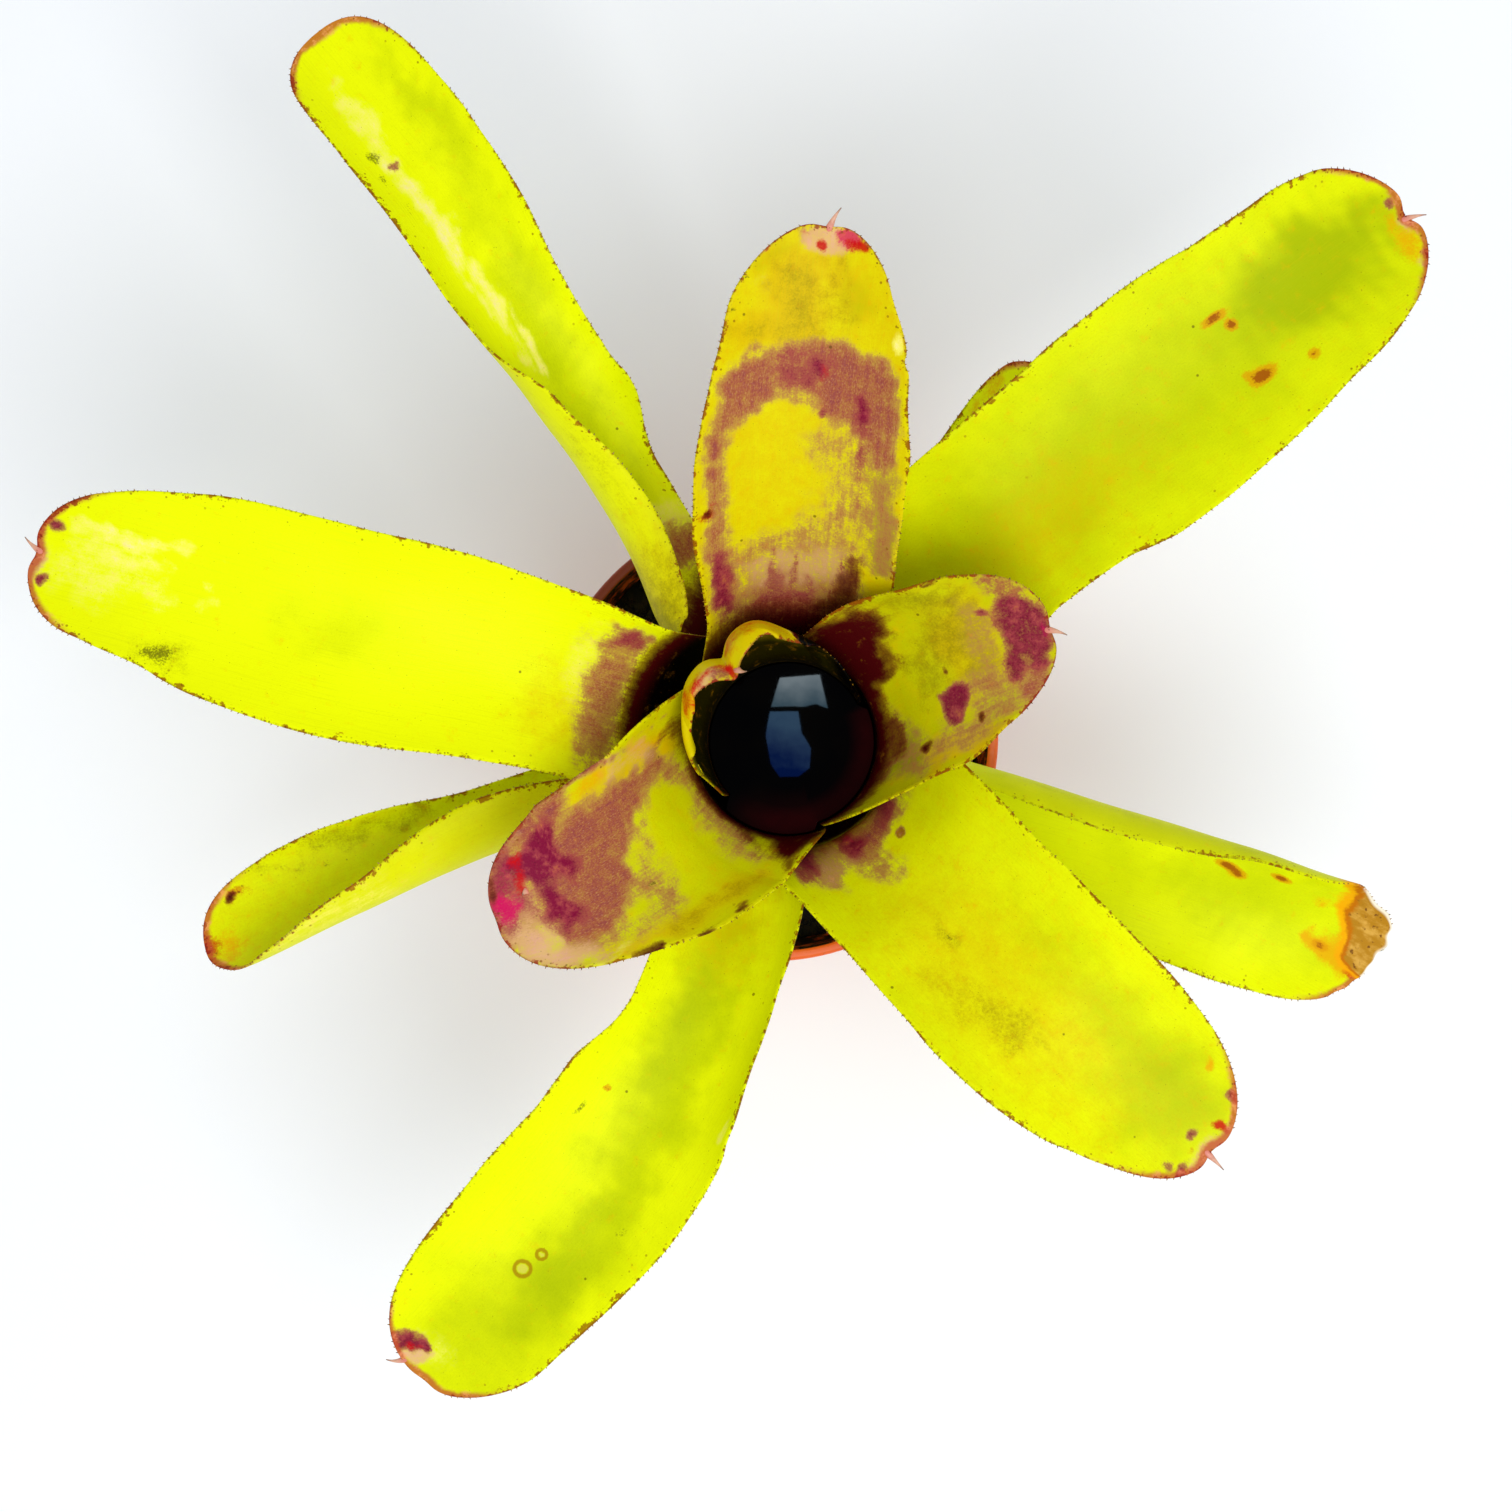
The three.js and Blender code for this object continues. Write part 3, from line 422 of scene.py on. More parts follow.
LEAVES["leaf_07"] = dict(
    azimuth=39, sheath_top=140, tip=28, left=30, right=30, green=0.3, gold=0.16, wine=(45, 58),
    spine=(7.2, -34, 4, 2.2, -0.5), notch=2.4, longer=1.8,
    blade=[
        [44, 6, 152, 27, 27, 45, 45, 0], [80, 8, 172, 27, 27, 34, 34, 0],
        [120, 7, 181, 28, 27, 26, 26, 0], [165, 6, 183, 26, 25, 24, 24, 0],
        [199, 5, 178, 20, 18, 20, 20, 0],
    ],
    wider=[
        [90, 0, 0], [99, 0, -1.8], [113, 0, -1.6], [120, 0, -1.3], [127, 0, 0.5], [134, 0.3, 1.9],
        [148, 0.4, 1.6], [162, 0.1, 1.2], [169, -0.2, 0.6], [176, -0.9, 0], [190, -0.9, -1.4],
        [198, -0.3, -1.3], [206, 0.6, -1.2], [213, 2, -0.3], [220, 2.2, 0.3],
    ],
    marks=dict(
        scar=[[170, 8.5, 2.6, 0.9, 1.0], [172.5, 4.8, 1.2, 1.3, 1.0], [171, -9.8, 3.0, 1.5, 1.0],
        [168, -7.4, 1.2, 0.8, 0.6], [184, -13.4, 1.4, 1.2, 0.7]], ring=[[111, 5.4, 1.8, 1.8, 0.4]],
        green=[[196, 3, 22, 11, 0.85], [130, 0, 95, 20, 0.38]], gold=[[110, -6, 30, 12, 0.35]],
        orange=[[219, -5, 3.4, 7, 0.8]], peach=[[222, -2, 2.0, 1.6, 0.9], [218, -12.5, 1.4, 1.8, 0.7]],
        rose=[[222, -11, 2, 1.6, 0.7], [221, 4, 1.4, 1.6, 0.7]],
    ),
)
LEAVES["leaf_08"] = dict(
    azimuth=243, sheath_top=136, tip=28, left=24, right=27, green=0.15, gold=0.05, wine=(45, 56),
    spine=(6.6, -64, 0, 3.4, -7), notch=0.6, longer=-0.9,
    blade=[
        [46, 9, 146, 19, 22, 66, 60, 5], [75, 13, 156, 20, 22, 66, 55, 5],
        [110, 9, 160, 24, 24, 38, 34, 0], [150, 1, 156, 22, 25, 26, 26, 0],
        [188, -9, 146, 15, 21, 20, 20, 0],
    ],
    wider=[
        [72, -1.4, 0], [78, -2.3, -0.5], [86, -0.8, -1.3], [93, 0.6, -1.7], [101, 1.3, -1.2],
        [108, 2, 0.1], [112, 1.5, 1], [116, 2.3, 1.7], [123, 1.4, 0.9], [131, 1, 0.4], [138, 1, 1.1],
        [149, 0.4, 1.8], [160, 0, 1.1], [175, -0.8, 0.8], [191, 0.2, 0], [205, 0.0, 0],
    ],
    marks=dict(
        rose=[[203, -10.5, 3, 3, 1.1], [202, -7.5, 2.4, 1.6, 0.7]], red=[[204, -9, 1.6, 1.6, 0.8]],
        peach=[[206, -7, 3, 3, 1.1]], cream=[[201, -5, 5, 8, 0.35], [112, 21, 3.4, 1.2, 0.7]],
        ring=[[168, -0.6, 2.0, 2.0, 1.0], [162, 0.5, 1.5, 1.5, 0.9]], soot=[[126, -15, 2.2, 0.7, 1.0],
        # The green down the channel and towards the tip is partly painted shade.
        [145, 13, 2, 1.2, 0.7]], scar=[[118, -12, 0.7, 0.7, 0.9]], green=[[92, -2, 40, 9, 0.6],
        [186, 3, 26, 16, 0.45], [128, 6, 22, 7, 0.5], [160, 8, 24, 10, 0.6]],
        gold=[[64, -4, 16, 14, 0.5]],
    ),
)
LEAVES["leaf_09"] = dict(
    azimuth=118, sheath_top=130, tip=24, left=23, right=24, green=0.12, gold=0.05, wine=(52, 60),
    spine=(3.2, 0, -40, 2.2, 0), notch=0.0,
    blade=[
        [50, 8, 138, 28, 15, 106, 70, 38], [75, 9, 150, 26, 14, 125, 68, 46],
        [105, 11, 159, 25, 17, 100, 60, 42], [125, 10, 163, 22, 15, 70, 52, 25],
        [150, 9, 165, 19, 15, 50, 45, 10], [212, 20, 160, 17, 16, 35, 35, 0],
    ],
    wider=[
        [90, 0, 0.1], [98, 0, 1.1], [104, 0, 2.6], [109, 0, 3.6], [113, 0, 3.4], [118, 0, 1.8],
        [122, 0, 1], [136, -1, 0.4], [151, -1.3, -0.4], [158, -0.6, -0.3], [166, 0.3, -0.1],
        [181, 1, -0.2], [190, 1, 0.2], [203, 0, 0.2], [211, 0.4, -0.2], [226, 2.0, -0.4],
    ],
    marks=dict(
        # The cream streak from the middle to the tip is a painted highlight, a sheen along the fold.
        cream=[[205, 6, 9, 3, 0.7], [184, 8.5, 16, 2.4, 0.9], [164, 7.5, 14, 2.2, 0.9],
        [146, 4, 12, 2.0, 0.9], [132, 0, 8, 1.4, 0.9], [72, -8, 8, 8, 0.7]], soot=[[194, 11, 3, 2.2, 0.9],
        [186, 14, 3.4, 2, 0.8], [176, 13, 2.6, 1.4, 0.5]], rose=[[188, 8, 1.3, 1.3, 0.8]],
        # The green down the channel is partly painted shade.
        green=[[130, -4, 50, 7, 0.42], [190, -8, 22, 5, 0.35]], olive=[[62, 20, 24, 12, 0.2],
        [102, 20, 24, 6, 0.3], [56, 20, 20, 14, 0.7]], gold=[[58, 18, 24, 16, 1.0]],
        blush=[[66, -8, 6, 9, 0.9]],
    ),
)
LEAVES["leaf_10"] = dict(
    azimuth=340, sheath_top=126, tip=22, left=26, right=26, green=0.12, gold=0.05, wine=(42, 55),
    spine=None, notch=0.0, longer=2.5, torn=dict(reach=11, depth=2.6, dry=13),
    blade=[
        [50, 5, 129, 22, 24, 100, 50, 35], [80, 7.5, 135, 22, 29, 112, 45, 38],
        [120, 8.4, 135, 21, 30, 95, 42, 34], [163, 4, 125, 16, 19, 50, 40, 15],
    ],
    wider=[[120, 0, 0.2], [143, 0, 0.5], [150, -2, 1.1], [156, -5, 1.8], [161, -7, 2.4], [168, -4, 3]],
    marks=dict(
        scar=[[123, 0.5, 2.6, 1.0, 1.0], [126.5, -0.8, 2.0, 1.1, 0.9], [137, 3.2, 2.2, 0.9, 1.0],
        [156, -8.5, 1.8, 1.0, 0.8]], orange=[[159, -8, 6, 4, 1.0], [150, 2, 4, 1.6, 0.6],
        [164, -10, 6, 4, 1.0], [156, -8.5, 4, 2, 1.0]], green=[[136, -4, 34, 14, 0.45],
        [100, 20, 40, 8, 0.6]], red=[[166, -11.6, 1.6, 1.8, 1.2]],
    ),
)
LEAVES["leaf_11"] = dict(
    azimuth=200, sheath_top=122, tip=24, left=26, right=22, green=0.4, gold=0.35, wine=(42, 55),
    spine=(3.2, 0, -30, 2.2, 0), notch=0.0, longer=0.8,
    blade=[
        [52, -2, 128, 26, 14, 120, 85, 45], [80, -3, 134, 30, 16, 130, 90, 50],
        [115, -2, 136, 26, 17, 105, 72, 42], [160, -1, 128, 13, 14, 55, 45, 20],
    ],
    wider=[
        [84, 0, -1.5], [99, 0, 0], [107, 0, 1.4], [115, 0, 2.6], [138, 0, 2.2], [145, 0, 1.2],
        [152, -1.9, 0.9], [160, -2.4, 1],
    ],
    marks=dict(
        wine=[[154, -10, 1.5, 1.3, 1.0]], red=[[153, -10, 2.6, 2.2, 0.7], [163, 1, 2.6, 5, 0.9]],
        orange=[[158, 2, 5, 8, 0.6]], soot=[[128, -10, 1.5, 1.2, 0.6]], olive=[[118, -15, 26, 3, 0.6]],
        # The cream on the outer flap is painted light, where the flap faces the lamp.
        cream=[[130, 20, 30, 8, 0.35]],
    ),
)
LEAVES["leaf_12"] = dict(
    azimuth=56, sheath_top=118, tip=24, left=26, right=26, green=0.0, gold=0.0, wine=(40, 54),
    spine=(4.4, 0, -20, 2.2, 0), notch=0.0,
    blade=[
        [54, -5, 125, 21, 22, 50, 50, 0], [85, -7, 130, 20, 22, 45, 45, 0],
        [119, -6, 125, 17, 18, 35, 35, 0],
    ],
    wider=[[87, -0.7, 0], [102, -0.4, 0], [110, 0.3, 0], [117, 2, 0]],
    marks=dict(
        orange=[[112, 15, 16, 2, 0.6]],
    ),
)
YOUNG_LEAVES = ("leaf_01", "leaf_02", "leaf_03", "leaf_04")
SOFT_MARKS = (
    "green", "gold", "olive", "dim", "cream", "peach", "blush", "rose", "red", "pink", "orange",
    "wine", "soot",
)
SHARP_MARKS = ("scar", "ring")


# ---- Small helpers ----


def colour(code):
    """A colour as seen on a screen, such as "e05a30", as the linear values that a shader takes."""
    parts = [int(code[k : k + 2], 16) / 255 for k in (0, 2, 4)]
    linear = [p / 12.92 if p <= 0.04045 else ((p + 0.055) / 1.055) ** 2.4 for p in parts]
    return (*linear, 1.0)


def unit(vectors):
    """The same vectors, each one long."""
    return vectors / np.maximum(np.linalg.norm(vectors, axis=-1, keepdims=True), 1e-12)


def smoothstep(start, end, value):
    """0 at start and 1 at end, with an even ease between them. It falls where end is below start."""
    share = np.clip((np.asarray(value, float) - start) / (end - start), 0, 1)
    return share * share * (3 - 2 * share)


def smooth_curve(lengths, values):
    """A curve through values at given lengths that never swings past them."""
    steps = np.diff(lengths)
    slopes = np.diff(values) / steps
    tangents = np.zeros(len(values))
    tangents[0] = slopes[0]
    tangents[-1] = slopes[-1]
    for k in range(1, len(slopes)):
        if slopes[k - 1] * slopes[k] > 0:
            before = 2 * steps[k] + steps[k - 1]
            after = steps[k] + 2 * steps[k - 1]
            tangents[k] = (before + after) / (before / slopes[k - 1] + after / slopes[k])

    def at(length):
        k = np.clip(np.searchsorted(lengths, length, side="right") - 1, 0, len(steps) - 1)
        x = np.clip((length - lengths[k]) / steps[k], 0, 1)
        ends = (1 + 2 * x) * (1 - x) ** 2 * values[k] + x * x * (3 - 2 * x) * values[k + 1]
        bend = x * (1 - x) ** 2 * tangents[k] + x * x * (x - 1) * tangents[k + 1]
        return ends + bend * steps[k]

    return at


def ripple(along, across, seed, long_wave, cross_wave, waves=4):
    """Gentle unevenness between about -1 and 1: a few waves of about the given lengths."""
    draw = np.random.default_rng(seed)
    total = np.zeros(np.broadcast(along, across).shape)
    for _ in range(waves):
        stretch = draw.uniform(*WAVE_SPREAD, 2)
        phase = draw.uniform(0, math.tau, 2)
        lengthwise = np.sin(math.tau * along / (long_wave * stretch[0]) + phase[0])
        total += lengthwise * np.cos(math.tau * across / (cross_wave * stretch[1]) + phase[1])
    return total / waves * 1.6


def drift(along, across, seed, wave, waves=10):
    """Unevenness of about the given wave length that runs in no direction, mostly -1 to 1."""
    draw = np.random.default_rng(seed)
    total = np.zeros(along.shape)
    for _ in range(waves):
        angle, phase = draw.uniform(0, math.tau, 2)
        distance = along * math.cos(angle) + across * math.sin(angle)
        total += np.sin(math.tau * distance / (wave * draw.uniform(*WAVE_SPREAD)) + phase)
    return total / math.sqrt(waves)


def round_angles(sides):
    """Angles evenly spaced round a circle."""
    return np.linspace(0, math.tau, sides, endpoint=False)


def ring_quads(rings, sides):
    """The faces between rings of points that follow one another."""
    faces = []
    for i in range(rings - 1):
        for j in range(sides):
            k = (j + 1) % sides
            faces.append([i * sides + j, (i + 1) * sides + j, (i + 1) * sides + k, i * sides + k])
    return faces


def link_object(name, data):
    """An object around a mesh, a light or a camera, in the scene."""
    made = bpy.data.objects.new(name, data)
    bpy.context.scene.collection.objects.link(made)
    return made


def make_object(name, points, faces, materials, face_materials=None, smooth=True):
    """A mesh object at the origin, from points in millimetres."""
    mesh = bpy.data.meshes.new(name)
    mesh.from_pydata((np.asarray(points) * MM).tolist(), [], faces)
    for material in materials:
        mesh.materials.append(material)
    if face_materials is not None:
        mesh.polygons.foreach_set("material_index", face_materials)
    mesh.polygons.foreach_set("use_smooth", [smooth] * len(mesh.polygons))
    mesh.update()
    return link_object(name, mesh)


def add_values(mesh, name, values):
    """Gives each point of a mesh a number or a vector under a name that materials can read."""
    values = np.asarray(values, np.float32)
    kind = "FLOAT" if values.ndim == 1 else "FLOAT_VECTOR"
    layer = mesh.attributes.new(name, kind, "POINT")
    layer.data.foreach_set("value" if kind == "FLOAT" else "vector", values.ravel())


def bake_modifiers(made):
    """Turns an object's modifiers into plain mesh and takes them off."""
    depsgraph = bpy.context.evaluated_depsgraph_get()
    plain = bpy.data.meshes.new_from_object(made.evaluated_get(depsgraph))
    made.modifiers.clear()
    made.data = plain
    return made


# ---- Node trees ----


class Value:
    """One output of a node. +, - and * add the node that reckons the result."""

    def __init__(self, nodes, socket):
        self.nodes = nodes
        self.socket = socket

    def __add__(self, other):
        return self.nodes.math("ADD", self, other)

    def __sub__(self, other):
        return self.nodes.math("SUBTRACT", self, other)

    def __rsub__(self, other):
        return self.nodes.math("SUBTRACT", other, self)

    def __mul__(self, other):
        return self.nodes.math("MULTIPLY", self, other)


class Nodes:
    """A node tree being built."""

    def __init__(self, tree):
        self.tree = tree

    def feed(self, socket, value):
        if isinstance(value, Value):
            self.tree.links.new(value.socket, socket)
        else:
            socket.default_value = value

    def add(self, kind, inputs=None, output=0, **settings):
        """Adds a node, feeds its inputs and returns one of its outputs."""
        node = self.tree.nodes.new(kind)
        for name, value in settings.items():
            setattr(node, name, value)
        for key, value in (inputs or {}).items():
            self.feed(node.inputs[key], value)
        return Value(self, node.outputs[output])

    def math(self, operation, a, b, clamp=False):
        return self.add("ShaderNodeMath", {0: a, 1: b}, operation=operation, use_clamp=clamp)

    def step(self, value, start, end):
        """Eases from 0 at start to 1 at end."""
        inputs = {"Value": value, "From Min": start, "From Max": end}
        return self.add("ShaderNodeMapRange", inputs, "Result", interpolation_type="SMOOTHSTEP")

    def fall(self, value, start, end):
        """Eases from 1 at start to 0 at end."""
        return 1.0 - self.step(value, start, end)

    def between(self, value, low, high):
        """Spreads 0 to 1 over low to high."""
        inputs = {"Value": value, "To Min": low, "To Max": high}
        return self.add("ShaderNodeMapRange", inputs, "Result")

    def scaled(self, vector, factors):
        return self.add("ShaderNodeMapping", {"Vector": vector, "Scale": factors})

    def noise(self, vector, scale, detail, roughness=0.5):
        inputs = {"Vector": vector, "Scale": scale, "Detail": detail, "Roughness": roughness}
        return self.add("ShaderNodeTexNoise", inputs)

    def stretched_noise(self, vector, factors, detail, roughness=0.5):
        """Noise at a scale of its own along each axis."""
        return self.noise(self.scaled(vector, factors), 1.0, detail, roughness)

    def paint(self, under, over, amount):
        """Lays one colour over another by an amount. A colour is an output or a code."""
        under, over = (colour(c) if isinstance(c, str) else c for c in (under, over))
        return self.add("ShaderNodeMix", {0: amount, 6: under, 7: over}, 2, data_type="RGBA")


class Finish(Nodes):
    """A material being built around one Principled shader."""

    def __init__(self, name):
        self.material = bpy.data.materials.new(name)
        self.material.use_nodes = True
        super().__init__(self.material.node_tree)
        self.shader = self.tree.nodes["Principled BSDF"]

    def place(self):
        return self.add("ShaderNodeTexCoord", output="Object")

    def number(self, name):
        return self.add("ShaderNodeAttribute", output="Fac", attribute_name=name)

    def vector(self, name):
        return self.add("ShaderNodeAttribute", output="Vector", attribute_name=name)

    def dots(self, vector, scale, radius, chance):
        """Round dots of a given radius, in shares of a cell, in some of the cells."""
        drawn = self.add("ShaderNodeTexVoronoi", {"Vector": vector, "Scale": scale}, "Color")
        distance = Value(self, drawn.socket.node.outputs["Distance"])
        red = self.add("ShaderNodeSeparateColor", {"Color": drawn})
        return self.fall(distance, radius * 0.6, radius) * self.math("LESS_THAN", red, chance)

    def relief(self, height, depth, strength, under=None):
        """Bumps the surface by a height of 0 to 1, depth in metres."""
        inputs = {"Height": height, "Distance": depth, "Strength": strength}
        if under is not None:
            inputs["Normal"] = under
        return self.add("ShaderNodeBump", inputs)

    def finish(self, **sockets):
        names = {
            "color": "Base Color",
            "roughness": "Roughness",
            "normal": "Normal",
            "specular": "Specular IOR Level",
            "ior": "IOR",
        }
        for key, value in sockets.items():
            self.feed(self.shader.inputs[names[key]], value)
        return self.material


# ---- Finishes ----


def leaf_finish(name, sunny, shaded, outer_face, rim, rim_reach):
    """Waxy leaf skin. The numbers stored on a leaf say where each pigment and mark lies, and where shade
    and highlights are painted on.
    """
    made = Finish(name)
    blade = made.vector("blade")
    margin = made.number("margin")
    tipward = made.number("tipward")

    patches = made.noise(blade, 0.06, 3)
    blots = made.noise(blade, 0.3, 5, 0.68)
    grain = made.noise(blade, 1.9, 3, 0.75)
    streaks = made.stretched_noise(blade, (0.05, 0.9, 1), 3)
    veins = made.stretched_noise(blade, (0.06, 3.2, 1), 2)
    blot_sway = blots - 0.5
    grain_sway = grain - 0.5
    streak_sway = streaks - 0.5
    rough_edge = blot_sway * 1.2 + grain_sway * 0.9
    streaked_edge = rough_edge + streak_sway * 0.6

    def spread(kind, edge=rough_edge):
        """How strongly a pigment shows, with its edge broken up."""
        amount = made.number(kind)
        return amount + edge * made.step(amount, 0.02, 0.4)

    def layers(skin, *rows):
        """Lays (code, amount, start, end, share) over the skin, each where its amount is high."""
        for code, amount, start, end, share in rows:
            skin = made.paint(skin, code, made.step(amount, start, end) * share)
        return skin

    # The clean skin: sunny yellow running to shaded green (partly deeper pigment, partly painted shade) or
    # to warm gold, with faint veins.
    depth = made.number("green") + ((patches - 0.5) * 0.45 + grain_sway * 0.25)
    warmth = made.number("gold") + (blot_sway * 0.7 + grain_sway * 0.3)
    skin = made.paint(sunny, shaded, made.step(depth, 0.0, 1.1))
    skin = layers(skin, ("d8b800", warmth, 0.05, 1.1, 1.0))
    skin = made.paint(skin, outer_face, made.number("outer") * 0.5)
    skin = layers(skin, ("c3cc08", veins, 0.5, 0.75, 0.2), ("8f9800", grain, 0.58, 0.74, 0.16))

    # Pigments, from the palest to the darkest; the palest, cream, is also laid on as painted highlight in
    # places.
    cream = spread("cream", streaked_edge)
    blush = spread("blush", streaked_edge)
    peach = spread("peach", streaked_edge)
    rose = spread("rose") + streak_sway * 0.1
    weave = made.stretched_noise(blade, (1.4, 3.4, 1), 2, 0.6)
    dusty = made.step(blush, 0.2, 0.7)
    skin = layers(
        skin,
        ("7d7506", spread("olive"), 0.1, 1.2, 0.85),
        ("e3a400", spread("orange"), 0.1, 1.0, 0.85),
        ("f8f268", cream, 0.1, 0.9, 0.85),
        ("f6e8a8", cream, 0.7, 1.2, 0.7),
        ("b88c40", blush, 0.02, 0.55, 0.85),
        ("9f4b3c", blush, 0.25, 1.1, 0.92),
        ("dcae74", peach, 0.02, 0.9, 0.85),
        ("e0a890", peach, 0.8, 1.3, 0.75),
        ("75224c", blush, 0.9, 1.4, 0.6),
        ("e0b878", weave * dusty, 0.5, 0.8, 0.4),
        ("5c2c14", (1.0 - weave) * dusty, 0.52, 0.8, 0.4),
        ("a04a40", rose, 0.05, 0.5, 0.75),
    )
    mottled = made.paint("7c0034", "a03c44", made.step(blots, 0.44, 0.64))
    mottled = made.paint(mottled, "4a0416", made.step(grain, 0.54, 0.7) * 0.6)
    skin = made.paint(skin, mottled, made.step(rose, 0.3, 1.0) * 0.95)

    # Reds, smudges, scars and rings.
    soot = made.number("soot") + grain_sway * 1.6
    scar = made.number("scar") + grain_sway * 0.5
    ring = made.number("ring")
    skin = layers(
        skin,
        ("cc0058", spread("pink"), 0.2, 1.0, 0.9),
        ("c00006", spread("red"), 0.2, 1.0, 0.95),
        ("5f5a0a", soot, 0.45, 0.95, 0.8),
        ("d79000", scar, 0.15, 0.4, 0.75),
        ("9a4a04", scar, 0.45, 0.65, 0.9),
    )
    band = made.step(ring, 0.3, 0.42) * made.fall(ring, 0.55, 0.68)
    skin = made.paint(skin, "a07400", band * 0.8)
    skin = layers(skin, ("d8c860", ring, 0.62, 0.75, 0.5))

    # The dark wine red of the tank, running to painted shade, black, at its bottom; then painted shade on
    # the innermost leaf's inner face.
    wine = made.number("wine")
    # Painted shade on the innermost leaf's inner face, running to black.
    dim = made.number("dim")
    edge = (wine + streaked_edge * 0.6) * made.step(wine, 0.0, 0.2)
    skin = layers(
        skin,
        ("7c3410", edge, 0.05, 0.6, 0.7),
        ("480508", edge, 0.25, 1.1, 1.0),
        ("010000", wine, 1.0, 2.2, 1.0),
        ("262200", dim, 0.0, 1.0, 0.95),
        ("040300", dim, 0.9, 1.3, 1.0),
    )

    # A thin brown margin with red-brown blotches, redder and broader towards the tip.
    blotches = made.noise(blade, 0.6, 4, 0.65)
    runs = made.stretched_noise(blade, (0.05, 0.02, 1), 2)
    broken = (blotches - 0.5) * 2.0 + (runs - 0.5) * 1.1 + 0.46 + tipward * 0.16
    lit = made.fall(wine, 0.3, 1.0)
    line = made.fall(margin, 0.0, 0.4) * made.step(broken, 0.3, 0.6)
    skin = made.paint(skin, "6e5200", line * lit * 0.55)
    reach = tipward * rim_reach + blot_sway * 3.0
    flush = made.step(reach - margin, 0.0, 2.0) * made.step(tipward, 0.12, 0.6)
    flush_colour = made.paint(rim, "e88a60", made.step(blots, 0.5, 0.66))
    skin = made.paint(skin, flush_colour, flush * 0.85)
    blotch = made.step(broken - margin * 0.2, 0.5, 0.66) * (lit * 0.8)
    blotch_colour = made.paint("8a3c02", "8a1210", made.step(tipward, 0.15, 0.45))
    skin = made.paint(skin, blotch_colour, blotch)
    teeth_feet = made.dots(blade, 0.95, 0.26, 0.5) * made.fall(margin, 0.6, 1.6)
    stray = made.dots(blade, 0.5, 0.2, 0.3) * made.fall(margin, 1.5, 6.0)
    skin = made.paint(skin, "5a3404", teeth_feet * 0.7)
    skin = made.paint(skin, "7a3a06", stray * 0.65)
    skin = made.paint(skin, "6d5a04", made.dots(blade, 0.75, 0.12, 0.28) * 0.45)
    skin = made.paint(skin, "5d4a04", made.dots(blade, 0.14, 0.07, 0.3) * 0.7)

    # Dry, papery tissue.
    crisp = made.stretched_noise(blade, (0.16, 0.3, 1), 4, 0.6)
    paper = made.paint("b27e1c", "d6a548", made.step(crisp, 0.42, 0.68))
    paper = made.paint(paper, "7a4e1c", made.step(made.noise(blade, 0.6, 3), 0.6, 0.7))
    paper = made.paint(paper, "f4ead2", made.fall(margin, 0.2, 1.2))
    parched = made.number("dry") + blot_sway * 0.35
    skin = layers(skin, ("f0a400", parched, 0.02, 0.2, 0.9), ("b86404", parched, 0.22, 0.34, 0.9))
    skin = made.paint(skin, paper, made.step(parched, 0.36, 0.46))

    normal = made.relief(veins, 0.00008, 0.6)
    normal = made.relief(grain, 0.00006, 0.5, normal)
    normal = made.relief(blots, 0.0003, 0.35, normal)
    wax = made.between(patches, 0.38, 0.52)
    return made.finish(color=skin, roughness=wax, normal=normal, specular=0.045)


def spine_finish():
    """Horny spine: rosy tan at the foot and pale at the point."""
    made = Finish("leaf spine horn")
    height = made.number("tipward")
    horn = made.paint("d87c6c", "d8a488", made.step(height, 0.1, 0.6))
    horn = made.paint(horn, "8a6a58", made.step(height, 0.7, 1.0))
    streaks = made.noise(made.place(), 900, 2)
    horn = made.paint(horn, "a04a40", made.step(streaks, 0.5, 0.7) * 0.3)
    return made.finish(color=horn, roughness=0.42, specular=0.4)


def tooth_finish():
    """Dark red-brown horn of the marginal teeth."""
    made = Finish("marginal tooth horn")
    speckle = made.noise(made.place(), 260, 2)
    horn = made.paint("6a3c08", "a87a14", made.step(speckle, 0.4, 0.65))
    return made.finish(color=horn, roughness=0.5)


def pot_finish():
    """Terracotta-coloured moulded plastic, a little dusty, darkened almost to black on its inner side,
    with painted shade on the top of the rim where the leaves overhang it.
    """
    made = Finish("terracotta plastic")
    place = made.place()
    height = made.add("ShaderNodeSeparateXYZ", {"Vector": place}, 2)
    cloud = made.noise(place, 28, 4)
    speckle = made.noise(place, 1400, 2)
    plastic = made.paint("ee661c", "dc5414", made.step(cloud, 0.35, 0.7))
    plastic = made.paint(plastic, "a83c18", made.step(speckle, 0.62, 0.75) * 0.35)
    dust = made.step(made.noise(place, 90, 4, 0.7), 0.52, 0.72) * 0.12
    plastic = made.paint(plastic, "d8b39a", dust)
    flow = made.stretched_noise(place, (120, 120, 12), 3)
    stain = made.step(flow, 0.5, 0.75) * made.fall(height, 0.02, 0.07)
    plastic = made.paint(plastic, "6d2f18", stain * 0.4)
    # Painted shade on the top of the rim, where the leaves overhang it.
    away = made.add(
        "ShaderNodeVectorMath", {0: place, 1: RIM_SHADE_SPOT}, "Value", operation="DISTANCE"
    )
    rim_shade = made.fall(away, 0.016, 0.036) * made.step(height, 0.107, 0.11)
    plastic = made.paint(plastic, "5e1606", rim_shade * 0.85)
    # The inner side is darkened almost to black, in uneven patches.
    inside = made.number("inside")
    inner_darkening = made.step(inside * 0.6 + made.noise(place, 220, 4, 0.7), 0.95, 1.15)
    plastic = made.paint(plastic, "1c120c", inner_darkening * inside)
    rings = made.stretched_noise(place, (2, 2, 900), 1)
    normal = made.relief(rings, 0.00004, 0.5)
    normal = made.relief(speckle, 0.00003, 0.6, normal)
    rough = made.between(cloud, 0.34, 0.5)
    return made.finish(color=plastic, roughness=rough, normal=normal, specular=0.35)


